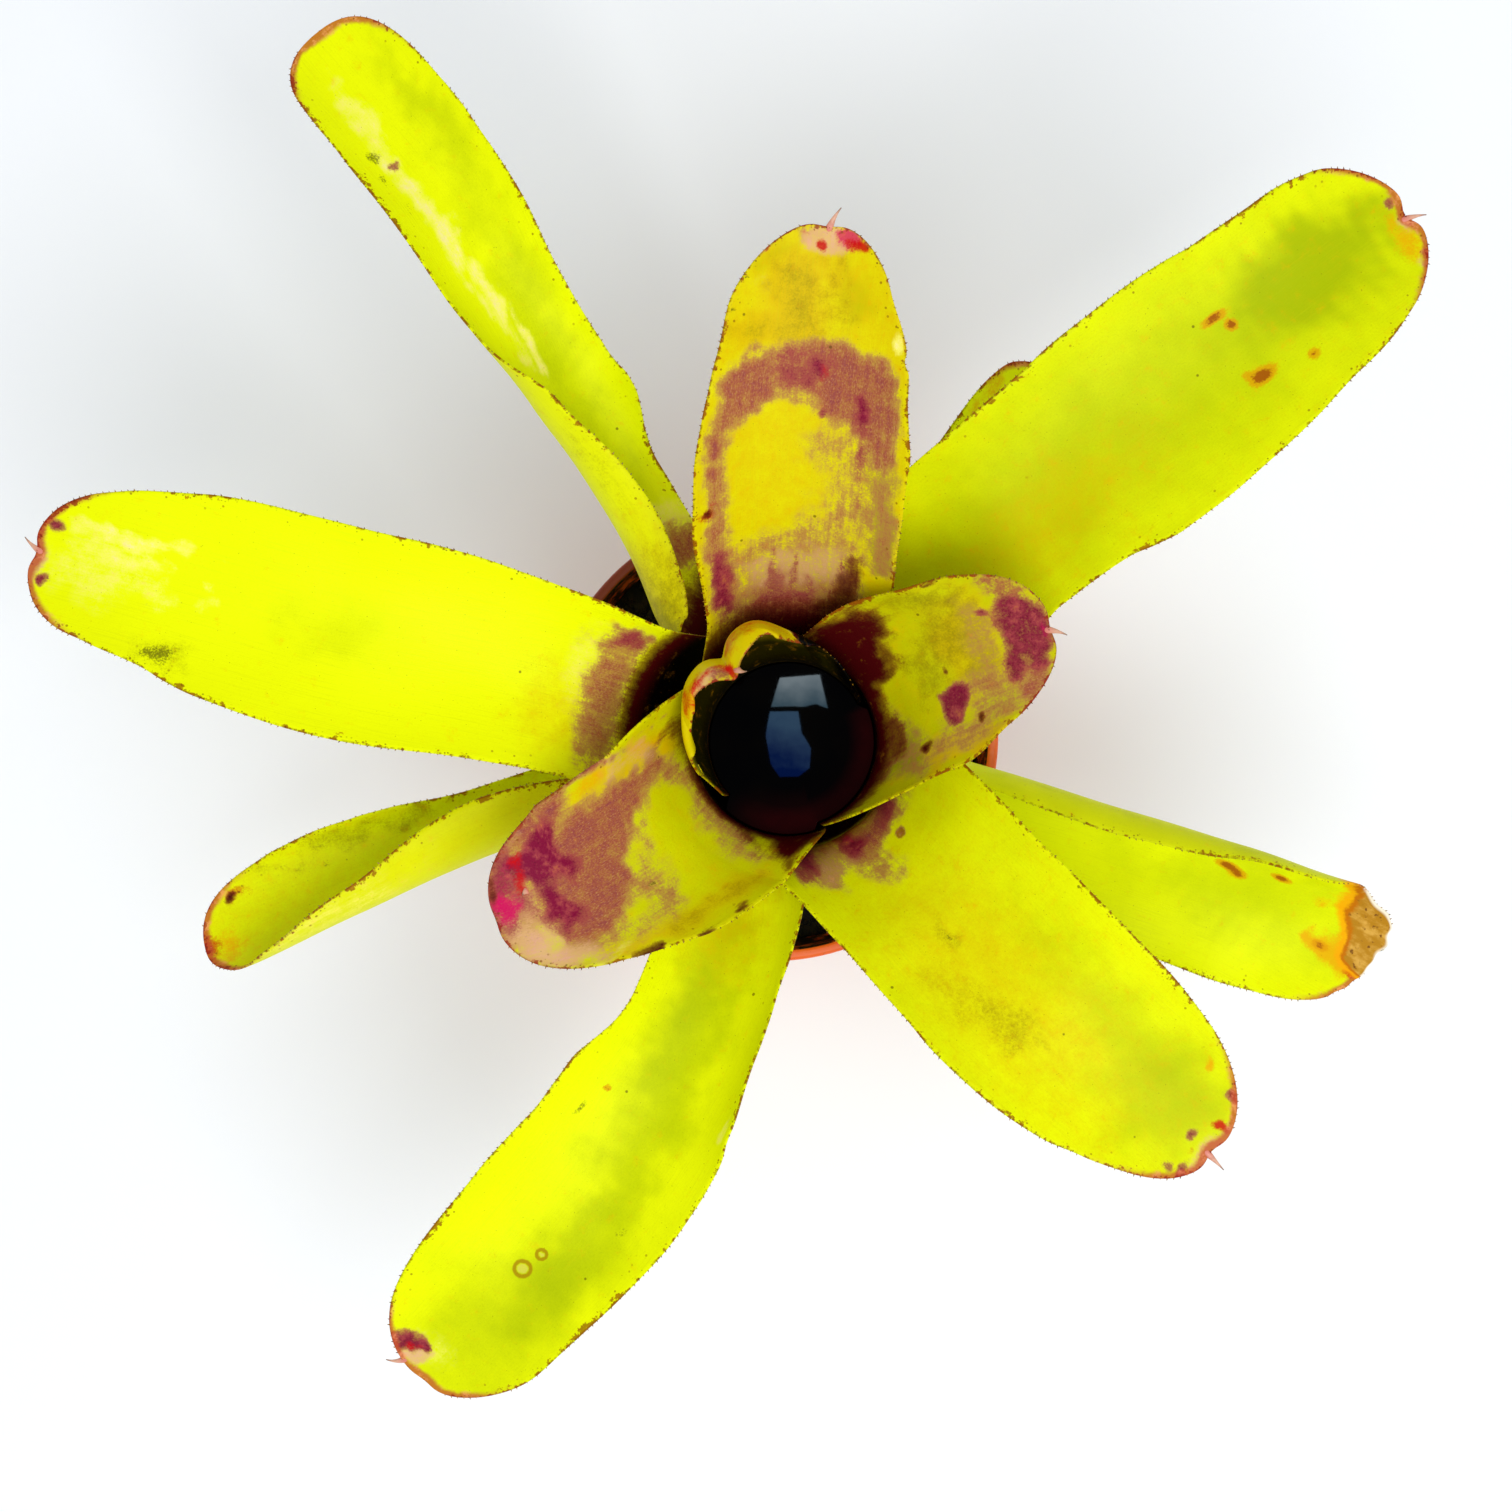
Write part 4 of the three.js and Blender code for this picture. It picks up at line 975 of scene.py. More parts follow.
def mix_finish(name, dark, light, wet):
    """Damp peat or bark, broken into fine crumbs."""
    made = Finish(name)
    place = made.place()
    lumps = made.noise(place, 320, 5, 0.7)
    fibre = made.noise(made.scaled(place, (1, 0.3, 1)), 1500, 3)
    earth = made.paint(dark, light, made.step(lumps, 0.45, 0.75))
    earth = made.paint(earth, "060403", made.step(fibre, 0.5, 0.62))
    normal = made.relief(lumps, 0.0006, 0.9)
    return made.finish(color=earth, roughness=wet, normal=normal, specular=0.3)


def stem_finish():
    """Fibrous stem with rings of old leaf scars."""
    made = Finish("stem fibre")
    place = made.place()
    fibre = made.stretched_noise(place, (900, 900, 60), 4)
    rings = made.stretched_noise(place, (20, 20, 700), 2)
    bark = made.paint("5d4420", "8d7440", made.step(fibre, 0.35, 0.65))
    bark = made.paint(bark, "2c1c0c", made.step(rings, 0.5, 0.7) * 0.8)
    normal = made.relief(fibre, 0.0003, 0.8)
    return made.finish(color=bark, roughness=0.8, normal=normal)


def water_finish():
    """Still, tea-dark tank water, with the dark red of the sheaths showing where it is shallow."""
    made = Finish("tank water")
    place = made.place()
    tea = made.paint("010102", "040302", made.step(made.noise(place, 60, 2), 0.4, 0.7))
    clouds = (made.noise(place, 300, 3) - 0.5) * 0.5
    tea = made.paint(tea, "320407", made.number("shallow") * (clouds + 0.75))
    normal = made.relief(made.noise(place, 45, 1), 0.00006, 0.2)
    return made.finish(color=tea, roughness=0.01, normal=normal, ior=1.33, specular=0.03)


# ---- Leaf surfaces ----


def sheath_stations(leaf, order):
    """The level sections of a sheath: it clasps the stem, spreads into a floor, then rises."""
    join_radius = BASE_RADIUS + BASE_GROWTH * order
    join_height = BASE_TOP - BASE_STEP * order
    radius = TANK_RADIUS + SHEATH_PITCH * order
    floor_radius = join_radius + (radius - join_radius) * FLOOR_SHARE

    def level(out, up, half):
        left = min(half, leaf["left"])
        right = min(half, leaf["right"])
        return [out, 0, up, left, right, math.degrees(left / out), math.degrees(right / out), 0]

    return [
        level(join_radius, join_height, CLASP_TURN * join_radius),
        level(floor_radius, join_height + FLOOR_RISE, FLOOR_TURN * floor_radius),
        level(radius, join_height + SHEATH_RISE, SHEATH_HALF),
        level(radius + SHEATH_FLARE, leaf["sheath_top"], SHEATH_HALF),
    ]


def surface_normals(points):
    """The direction square to a grid of points, on its upper side."""
    lengthwise = np.gradient(points, axis=0)
    rightward = np.gradient(points, axis=1)
    return unit(np.cross(rightward, lengthwise))


def leaf_surface(name, leaf, order):
    """The upper face of a leaf as a grid of points, with each point's place along and across it."""
    stations = np.array(sheath_stations(leaf, order) + leaf["blade"], float)
    gaps = np.linalg.norm(np.diff(stations[:, :3], axis=0), axis=1)
    lengths = np.concatenate([[0], np.cumsum(gaps)])
    curves = [smooth_curve(lengths, stations[:, k]) for k in range(stations.shape[1])]
    total, sheath_end = lengths[-1], lengths[SHEATH_END]
    tip_start = total - leaf["tip"]
    quarter_turn = np.linspace(0, math.pi / 2, TIP_ROWS + 1)
    rows = np.concatenate(
        [
            np.linspace(0, sheath_end, SHEATH_ROWS, endpoint=False),
            np.linspace(sheath_end, tip_start, BLADE_ROWS, endpoint=False),
            tip_start + leaf["tip"] * np.sin(quarter_turn),
        ]
    )

    azimuth = math.radians(leaf["azimuth"])
    outward = np.array([math.cos(azimuth), math.sin(azimuth), 0])
    leftward = np.array([-math.sin(azimuth), math.cos(azimuth), 0])
    upward = np.array([0, 0, 1.0])

    def midrib(length):
        out, side, up = (curves[k](length)[:, None] for k in range(3))
        return ROSETTE + outward * out + leftward * side + upward * up

    centre = midrib(rows)
    forward = unit(midrib(np.minimum(total, rows + 0.5)) - midrib(np.maximum(0, rows - 0.5)))
    left, right, curl_left, curl_right, roll = (curves[k](rows) for k in range(3, 8))

    square_left = unit(leftward - forward * (forward @ leftward)[:, None])
    square_up = np.cross(forward, square_left)
    turn = smoothstep(lengths[2], sheath_end, rows)[:, None]
    up = unit(-outward * (1 - turn) + square_up * turn)
    across = leftward * (1 - turn) + square_left * turn
    across = unit(across - up * np.sum(across * up, axis=1, keepdims=True))
    roll = np.radians(roll)[:, None]
    rolled_left = across * np.cos(roll) + up * np.sin(roll)
    rolled_up = up * np.cos(roll) - across * np.sin(roll)

    into_tip = np.clip((rows - tip_start) / leaf["tip"], 0, 1)
    taper = np.maximum(TIP_WIDTH, (1 - into_tip**TIP_POWER) ** (1 / TIP_POWER))
    share = np.linspace(1, -1, COLUMNS + 1)[None, :]
    half = np.where(share > 0, left[:, None], right[:, None])
    curl = np.radians(np.where(share > 0, curl_left[:, None], curl_right[:, None]))
    bend = curl / half
    measured = np.array([[0, 0, 0], [60, 0, 0], *leaf.get("wider", [[total, 0, 0]])], float)
    wider_left, wider_right = (smooth_curve(measured[:, 0], measured[:, k])(rows) for k in (1, 2))
    edge = (half + np.where(share > 0, wider_left[:, None], wider_right[:, None])) * taper[:, None]
    reach = edge * share
    points = (
        centre[:, None]
        + rolled_left[:, None] * (np.sin(bend * reach) / bend)[..., None]
        + rolled_up[:, None] * ((1 - np.cos(bend * reach)) / bend)[..., None]
    )
    along = np.repeat(rows[:, None], COLUMNS + 1, axis=1)

    # The tip is dented where the spine stands, and a dry tip is torn.
    dent = np.exp(-((reach / NOTCH_HALF) ** 2)) * smoothstep(total - NOTCH_REACH, total, along)
    cut = leaf["notch"] * dent
    if "torn" in leaf:
        torn = leaf["torn"]
        ragged = 0.55 + 0.45 * ripple(0 * reach, reach, TEAR_SEED, 50, 7, 5)
        cut = cut + torn["depth"] * ragged * smoothstep(total - torn["reach"], total, along)
    cut = cut - leaf.get("longer", 0) * into_tip[:, None] ** 2
    points = points - forward[:, None] * cut[..., None]
    for middle, push, width in leaf.get("lobes", []):
        swell = push * np.exp(-(((reach - middle) / width) ** 2))
        swell = swell * smoothstep(LOBES_FROM, LOBES_FULL, along)
        away = unit((points - ROSETTE) * [1, 1, 0])
        points = points + away * swell[..., None]

    # The blade is a little uneven, more so towards its margins.
    seed = int(name[-2:])
    open_blade = smoothstep(sheath_end, sheath_end + 25, along) * smoothstep(total, total - 12, along)
    waver = BLADE_WAVER * ripple(along, reach, seed, 46, 34)
    at_margin = MARGIN_WAVER * ripple(along, 0 * reach, seed + 50, 24, 60)
    waver += at_margin * np.abs(share) ** 3 * np.sign(share)
    points = points + surface_normals(points) * (waver * open_blade)[..., None]
    return dict(
        points=points,
        normals=surface_normals(points),
        along=along,
        across=reach,
        wander=[
            drift(along, reach, seed + k, 14) + 0.6 * drift(along, reach, seed + k + 50, 5)
            for k in (100, 200)
        ],
        edge=edge,
        total=total,
        sheath_end=sheath_end,
        forward=forward,
        up=rolled_up,
        left=rolled_left,
    )


def mark_distance(surface, along, across, half_length, half_width, wander):
    """How far each point lies from a mark's middle, with 1 at the mark's rim. The rim wanders."""
    lengthwise = (surface["along"] - along) / half_length + wander * surface["wander"][0]
    crosswise = (surface["across"] - across) / half_width + wander * surface["wander"][1]
    return np.hypot(lengthwise, crosswise)


def soft_mark(surface, *place):
    """How strongly a soft-edged mark covers each point. Broad marks keep smoother rims."""
    wander = 0.45 * min(1.0, 3.0 / place[3])
    return place[-1] * smoothstep(1.7, 0.2, mark_distance(surface, *place[:-1], wander))


def sharp_mark(surface, *place):
    """A cone over a mark: 1 at its centre, 0.5 at its rim and 0 at twice its size."""
    return place[-1] * np.clip(1 - mark_distance(surface, *place[:-1], 0.1) / 2, 0, 1)


def patch(surface, strength, rim, *outline):
    """How strongly a patch with a drawn outline covers each point. Its rim fades and wanders."""
    points = np.stack([surface["along"], surface["across"]], axis=-1)
    corners = np.array(outline, float).reshape(-1, 2)
    distance = np.full(points.shape[:2], np.inf)
    inside = np.zeros(points.shape[:2], bool)
    for start, end in zip(corners, np.roll(corners, -1, axis=0)):
        side, to_point = end - start, points - start
        share = np.clip(to_point @ side / max(side @ side, 1e-9), 0, 1)
        distance = np.minimum(distance, np.linalg.norm(to_point - share[..., None] * side, axis=-1))
        crossed = (start[1] > points[..., 1]) != (end[1] > points[..., 1])
        level = to_point[..., 1] * side[0] - to_point[..., 0] * side[1]
        inside ^= crossed & ((level > 0) == (side[1] > 0))
    distance = np.where(inside, -distance, distance) + 0.35 * rim * surface["wander"][0]
    return strength * smoothstep(rim, -rim, distance)


def leaf_values(leaf, surface):
    """The numbers that a leaf's finish reads from its upper face, as one grid for each name."""
    along, across = surface["along"], surface["across"]
    zero = np.zeros_like(along)
    values = {kind: zero.copy() for kind in SOFT_MARKS + SHARP_MARKS}
    for kind, places in leaf["marks"].items():
        measure = sharp_mark if kind in SHARP_MARKS else soft_mark
        for place in places:
            values[kind] = np.hypot(values[kind], measure(surface, *place))
    for kind, *drawn in leaf.get("patches", []):
        values[kind] = np.hypot(values[kind], patch(surface, *drawn))
    values["green"] = values["green"] + leaf["green"]
    values["gold"] = values["gold"] + leaf["gold"]
    to_end = np.maximum(0, surface["total"] - along)
    values["margin"] = np.minimum(surface["edge"] - np.abs(across), to_end + 0.3)
    values["tipward"] = np.exp(-to_end / TIPWARD_REACH)
    values["dry"] = zero
    if "torn" in leaf:
        start = leaf["torn"]["dry"] + 0.5 * across + 0.8 * np.sin(across / 2.0)
        values["dry"] = np.clip(1.2 - to_end / start, 0, 1) * smoothstep(-13, -8, across)
    return values


def wine_values(leaf, surface):
    """Dark wine pigment at the foot of the inner face: 1 where it is solid, and more below that, where
    painted shade turns it black.
    """
    dark, clear = leaf["wine"]
    arched = surface["along"] + 0.006 * surface["across"] ** 2
    return np.clip((clear - arched) / (clear - dark), 0, 3)


def around(upper, lower):
    """Values of the upper and the lower face in the order of a closed section."""
    middle = (upper + lower) / 2
    return np.concatenate([upper, middle[:, -1:], lower[:, ::-1], middle[:, :1]], axis=1)


def closed_shell(surface):
    """A leaf's closed body as sections that run over the upper face and back under the lower one."""
    points, normals = surface["points"], surface["normals"]
    share = np.abs(surface["across"]) / np.maximum(surface["edge"], 1e-6)
    thickness = BLADE_THICKNESS - (BLADE_THICKNESS - MARGIN_THICKNESS) * share**4
    to_end = surface["total"] - surface["along"]
    thickness = thickness * (1 - TIP_THINNING + TIP_THINNING * smoothstep(0, 6, to_end))
    section = around(points, points - normals * thickness[..., None])
    section[:, points.shape[1]] += unit(points[:, -1] - points[:, -2]) * MARGIN_ROUND
    section[:, -1] += unit(points[:, 0] - points[:, 1]) * MARGIN_ROUND
    return section


def shell_faces(rows, columns):
    """Faces of a closed shell whose sections have twice the columns and two margin points."""
    ring = 2 * columns + 2
    i, j = np.meshgrid(np.arange(rows - 1), np.arange(ring), indexing="ij")
    here, beside = i * ring + j, i * ring + (j + 1) % ring
    quads = np.stack([here, beside, beside + ring, here + ring], axis=-1).reshape(-1, 4).tolist()

    def cap(first, flip):
        upper = [first + j for j in range(columns)]
        lower = [first + 2 * columns - j for j in range(columns)]
        ends = [
            [upper[-1], first + columns, lower[-1]],
            [lower[0], first + ring - 1, upper[0]],
        ]
        sides = [[upper[j], upper[j + 1], lower[j + 1], lower[j]] for j in range(columns - 1)]
        return [face[::-1] if flip else face for face in ends + sides]

    return quads + cap(0, True) + cap((rows - 1) * ring, False)


def spine_shell(leaf, surface):
    """The curved spine at a leaf's tip: its points, faces and how far each point is to its end."""
    length, bend, lift, behind, offset = leaf["spine"]
    row = np.searchsorted(surface["along"][:, 0], surface["total"] - behind)
    column = np.argmin(np.abs(surface["across"][row] - offset))
    root = surface["points"][row, column] - surface["normals"][row, column] * SPINE_DEPTH
    forward = surface["forward"][row]
    left, up = surface["left"][row], surface["up"][row]
    heading = math.radians(bend)
    rise = math.radians(lift)
    target = unit(forward * math.cos(heading) + left * math.sin(heading) + up * math.tan(rise))
    t = np.linspace(0, 1, SPINE_ROWS)
    start = unit(forward + target * 0.4)
    centre = root + start * (length * t * (1 - 0.5 * t))[:, None]
    centre = centre + target * (length * 0.5 * t * t)[:, None]
    heading_now = unit(np.gradient(centre, axis=0))
    across = unit(left - heading_now * (heading_now @ left)[:, None])
    over = np.cross(heading_now, across)
    flared = 0.35 + 0.65 * smoothstep(0, 0.22, t)
    radius = SPINE_POINT + SPINE_FOOT * (1 - t) ** 1.3 * flared
    flat = 0.42 + 0.5 * t
    angle = round_angles(SPINE_SIDES)
    points = (
        centre[:, None]
        + across[:, None] * (radius[:, None] * np.cos(angle))[..., None]
        + over[:, None] * (radius[:, None] * flat[:, None] * np.sin(angle))[..., None]
    )
    faces = ring_quads(SPINE_ROWS, SPINE_SIDES)
    last = (SPINE_ROWS - 1) * SPINE_SIDES
    faces.append(list(range(SPINE_SIDES)))
    faces.append([last + j for j in reversed(range(SPINE_SIDES))])
    return points.reshape(-1, 3), faces, np.repeat(t, SPINE_SIDES)


def make_leaf(name, leaf, order, skin, horn):
    """One leaf with its spine, standing for its solid. Returns its two margins for the teeth."""
    surface = leaf_surface(name, leaf, order)
    section = closed_shell(surface)
    rows, columns = surface["points"].shape[:2]
    points = section.reshape(-1, 3)
    faces = shell_faces(rows, columns)
    zero = np.zeros((rows, columns))
    # Painted shade lies on the upper face only.
    values = {
        key: around(grid, zero if key == "dim" else grid).ravel()
        for key, grid in leaf_values(leaf, surface).items()
    }
    values["wine"] = np.maximum(values["wine"], around(wine_values(leaf, surface), zero).ravel())
    values["outer"] = around(zero, zero + 1).ravel()
    seed = np.full((rows, columns), 37.0 * int(name[-2:]))
    blade = np.stack([surface["along"], surface["across"], seed], axis=-1)
    blade = around(blade, blade).reshape(-1, 3)
    face_materials = [0] * len(faces)
    if leaf["spine"]:
        spine_points, spine_faces, to_point = spine_shell(leaf, surface)
        first = len(points)
        faces += [[corner + first for corner in face] for face in spine_faces]
        face_materials += [1] * len(spine_faces)
        points = np.concatenate([points, spine_points])
        blade = np.concatenate([blade, np.zeros((len(spine_points), 3))])
        for key in values:
            tail = to_point if key == "tipward" else np.zeros(len(spine_points))
            values[key] = np.concatenate([values[key], tail])
    made = make_object(name + "_blade", points, faces, [skin, horn], face_materials)
    add_values(made.data, "blade", blade)
    for key, grid in values.items():
        add_values(made.data, key, grid)
    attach(made, BODY)
    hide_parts(name)

    bladed = surface["along"][:, 0] > surface["sheath_end"] + TEETH_FROM
    keep = bladed & (surface["along"][:, 0] < surface["total"] - TEETH_END)
    margins = []
    for column, inward, rim in ((0, 1, -1), (columns - 1, columns - 2, columns)):
        outward = unit(surface["points"][:, column] - surface["points"][:, inward])
        lean = unit(outward + TOOTH_LEAN * surface["forward"])
        margins.append((section[:, rim][keep], lean[keep]))
    return margins


# ---- Marginal teeth ----


def geometry_tree(name, sockets):
    """A Geometry Nodes tree: its nodes, its inputs by name and the socket for its result."""
    tree = bpy.data.node_groups.new(name, "GeometryNodeTree")
    for side in ("INPUT", "OUTPUT"):
        tree.interface.new_socket(name="Geometry", in_out=side, socket_type="NodeSocketGeometry")
    for label, kind in sockets.items():
        tree.interface.new_socket(name=label, in_out="INPUT", socket_type="NodeSocket" + kind)
    nodes = Nodes(tree)
    source = tree.nodes.new("NodeGroupInput")
    given = {socket.name: Value(nodes, socket) for socket in source.outputs}
    return nodes, given, tree.nodes.new("NodeGroupOutput").inputs[0]


def run_tree(made, nodes, settings):
    """Puts a tree on an object, sets its named inputs and turns the result into plain mesh."""
    modifier = made.modifiers.new("shape", "NODES")
    modifier.node_group = nodes.tree
    for item in nodes.tree.interface.items_tree:
        if item.in_out == "INPUT" and item.name in settings:
            modifier[item.identifier] = settings[item.name]
    return bake_modifiers(made)


def tooth_tree(material):
    """Small cones along every margin line, pointing outwards and towards the tip."""
    sockets = {
        "Spacing": "Float",
        "Tooth length": "Float",
        "Tooth width": "Float",
        "Share kept": "Float",
        "Seed": "Int",
    }
    nodes, given, result = geometry_tree("marginal teeth", sockets)
    add = nodes.add
    curve = add("GeometryNodeMeshToCurve", {"Mesh": given["Geometry"]})
    along_curve = {"Curve": curve, "Length": given["Spacing"]}
    spaced = add("GeometryNodeResampleCurve", along_curve, mode="LENGTH")
    size_of_cone = {
        "Vertices": 5,
        "Radius Top": 0.0,
        "Radius Bottom": given["Tooth width"],
        "Depth": given["Tooth length"],
    }
    cone = add("GeometryNodeMeshCone", size_of_cone, "Mesh")
    lean = add(
        "GeometryNodeInputNamedAttribute", {"Name": "lean"}, "Attribute", data_type="FLOAT_VECTOR"
    )
    turned_by = add("FunctionNodeAlignRotationToVector", {"Vector": lean}, axis="Z")
    size_range = {2: 0.55, 3: 1.25, "Seed": given["Seed"]}
    size = add("FunctionNodeRandomValue", size_range, 1, data_type="FLOAT")
    chance = {"Probability": given["Share kept"], "Seed": given["Seed"]}
    kept = add("FunctionNodeRandomValue", chance, 3, data_type="BOOLEAN")
    cones = {
        "Points": spaced,
        "Instance": cone,
        "Rotation": turned_by,
        "Scale": size,
        "Selection": kept,
    }
    placed = add("GeometryNodeInstanceOnPoints", cones)
    real = add("GeometryNodeRealizeInstances", {"Geometry": placed})
    nodes.feed(result, add("GeometryNodeSetMaterial", {"Geometry": real, "Material": material}))
    return nodes


def make_teeth(margins):
    """All marginal teeth as one piece."""
    points, edges, leans = [], [], []
    for line, lean in margins:
        first = len(points)
        points.extend(line)
        leans.extend(lean)
        edges.extend([first + k, first + k + 1] for k in range(len(line) - 1))
    mesh = bpy.data.meshes.new("leaf_teeth")
    mesh.from_pydata((np.array(points) * MM).tolist(), edges, [])
    add_values(mesh, "lean", np.array(leans))
    made = link_object("leaf_teeth", mesh)
    settings = {
        "Spacing": TOOTH_SPACING * MM,
        "Tooth length": TOOTH_LENGTH * MM,
        "Tooth width": TOOTH_WIDTH * MM,
        "Share kept": 0.85,
        "Seed": 4,
    }
    run_tree(made, tooth_tree(tooth_finish()), settings)
    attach(made, BODY)


# ---- The pot ----


def turned(profile, sides, centres=None):
    """Points and faces of a body turned about the Z axis, from [radius, height] points.

    The profile starts and ends on the axis. centres moves each ring off the axis."""
    profile = np.array(profile, float)
    angle = round_angles(sides)
    rings = np.zeros((len(profile) - 2, sides, 3))
    rings[..., 0] = profile[1:-1, :1] * np.cos(angle)
    rings[..., 1] = profile[1:-1, :1] * np.sin(angle)
    rings[..., 2] = profile[1:-1, 1:]
    poles = np.array([[0, 0, profile[0, 1]], [0, 0, profile[-1, 1]]])
    if centres is not None:
        rings += np.asarray(centres)[1:-1, None]
        poles += np.asarray(centres)[[0, -1]]
    points = np.concatenate([rings.reshape(-1, 3), poles])
    faces = []
    count = len(rings)
    for j in range(sides):
        k = (j + 1) % sides
        for i in range(count - 1):
            a, b = i * sides, (i + 1) * sides
            faces.append([a + j, a + k, b + k, b + j])
        faces.append([count * sides, k, j])
        faces.append([count * sides + 1, (count - 1) * sides + j, (count - 1) * sides + k])
    return points, faces


def arc(centre, radius, start, end, steps):
    """Points [radius, height] of a rounded corner, angles in degrees."""
    angles = np.radians(np.linspace(start, end, steps))
    return [[centre[0] + radius * math.cos(a), centre[1] + radius * math.sin(a)] for a in angles]


def wall_radius(height):
    """The pot's outer radius below its band."""
    slope = (RIM_RADIUS - BAND_STEP - BASE_DISC_RADIUS) / (POT_HEIGHT - BAND_HEIGHT)
    return BASE_DISC_RADIUS + slope * height


def pot_profile():
    """The pot's section in three runs: up the outside, over the lip and down the inside."""
    band = POT_HEIGHT - BAND_HEIGHT
    foot = BASE_DISC_RADIUS
    lip_height = POT_HEIGHT - LIP_RADIUS
    inner_rim = RIM_RADIUS - RIM_WIDTH
    foot_corner = (foot - FOOT_CORNER + 0.05, FOOT_CORNER)
    outside = [[0, 0], [foot - 6, 0], *arc(foot_corner, FOOT_CORNER, -90, 0, 6)]
    outside += [[wall_radius(h), h] for h in np.linspace(4, band - 1.2, 12)]
    outside += arc((wall_radius(band) + 0.6, band - 0.6), 0.55, 180, 90, 5)
    outside += arc((RIM_RADIUS - BAND_EDGE, band + BAND_EDGE), BAND_EDGE, -90, 0, 5)
    outside += [[RIM_RADIUS, h] for h in np.linspace(band + 3, lip_height - 1, 4)]
    lip = arc((RIM_RADIUS - LIP_RADIUS, lip_height), LIP_RADIUS, 0, 90, LIP_STEPS)
    lip += arc((inner_rim + LIP_RADIUS, lip_height), LIP_RADIUS, 90, 180, LIP_STEPS)
    inside = [[inner_rim, h] for h in (POT_HEIGHT - 4, band + LEDGE)]
    inside += [[wall_radius(band) - POT_WALL, band]]
    inside += [[wall_radius(h) - POT_WALL, h] for h in np.linspace(band - 4, 6, 10)]
    floor_corner = (wall_radius(POT_FLOOR) - POT_WALL - FLOOR_CORNER, POT_FLOOR + FLOOR_CORNER)
    inside += arc(floor_corner, FLOOR_CORNER, 0, -90, 6)
    inside += [[foot - 14, POT_FLOOR], [0, POT_FLOOR]]
    return outside, lip, inside


def make_pot(plastic):
    """The pot: a tapered wall with a thicker band and a rounded rim, and drain holes in its floor."""
    outside, lip, inside = pot_profile()
    points, faces = turned(outside + lip + inside, POT_SIDES)
    made = make_object("pot_shell", points, faces, [plastic])
    inner_side = np.zeros(len(points))
    inner_side[(len(outside) - 1 + len(lip) - 5) * POT_SIDES :] = 1
    inner_side[-2] = 0
    add_values(made.data, "inside", inner_side)
    drill = [[0, -5], [DRAIN_RADIUS, -5], [DRAIN_RADIUS, 10], [0, 10]]
    drill_points, drill_faces = turned(drill, DRAIN_SIDES)
    for k in range(DRAIN_HOLES):
        angle = math.tau * k / DRAIN_HOLES
        place = [DRAIN_CIRCLE * math.cos(angle), DRAIN_CIRCLE * math.sin(angle), 0]
        cut = made.modifiers.new("drain hole", "BOOLEAN")
        cut.object = make_object(f"drill_{k}", drill_points + place, drill_faces, [])
        cut.operation = "DIFFERENCE"
        cut.solver = "EXACT"
    drills = [modifier.object for modifier in made.modifiers]
    bake_modifiers(made)
    for drill in drills:
        bpy.data.objects.remove(drill)
    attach(made, BODY)
    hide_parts("pot")


# ---- The potting mix ----


def stem_radius(height):
    """The stem's radius, from the radii at which the leaves join it."""
    return BASE_RADIUS + BASE_GROWTH * (BASE_TOP - height) / BASE_STEP - 0.4


def mix_height(x, y):
    """The mix's top, mounded round the stem and uneven."""
    radius = np.hypot(x, y)
    mound = MIX_EDGE + (MIX_MOUND - MIX_EDGE) * smoothstep(52, 20, radius)
    return mound - 0.9 + 0.8 * ripple(x, y, 3, 17, 15, 6)


def make_mix(earth):
    """The body of the mix: it fills the pot and closes round the stem's foot."""
    bottom = POT_FLOOR + MIX_GAP
    socket = stem_radius(MIX_MOUND) + MIX_GAP
    wall = wall_radius(MIX_EDGE) - POT_WALL - MIX_GAP
    shares = np.linspace(1, 0, MIX_RINGS)
    profile = [[0, bottom], [wall_radius(bottom) - POT_WALL - MIX_GAP - 1.2, bottom]]
    profile += [[wall_radius(h) - POT_WALL - MIX_GAP, h] for h in np.linspace(6, MIX_EDGE - 2, 14)]
    side_rings = len(profile)
    profile += [[socket + (wall - socket) * share, MIX_EDGE] for share in shares]
    profile += [[6, STEM_FOOT - MIX_GAP], [0, STEM_FOOT - MIX_GAP]]
    centres = np.zeros((len(profile), 3))
    centres[side_rings : side_rings + MIX_RINGS] = ROSETTE * (1 - shares[:, None])
    centres[side_rings + MIX_RINGS :] = ROSETTE
    points, faces = turned(profile, MIX_SIDES, centres)
    top = slice((side_rings - 1) * MIX_SIDES, (side_rings - 1 + MIX_RINGS) * MIX_SIDES)
    points[top, 2] = mix_height(points[top, 0], points[top, 1])
    made = make_object("potting_mix_body", points, faces, [earth])
    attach(made, BODY)
    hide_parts("potting_mix")


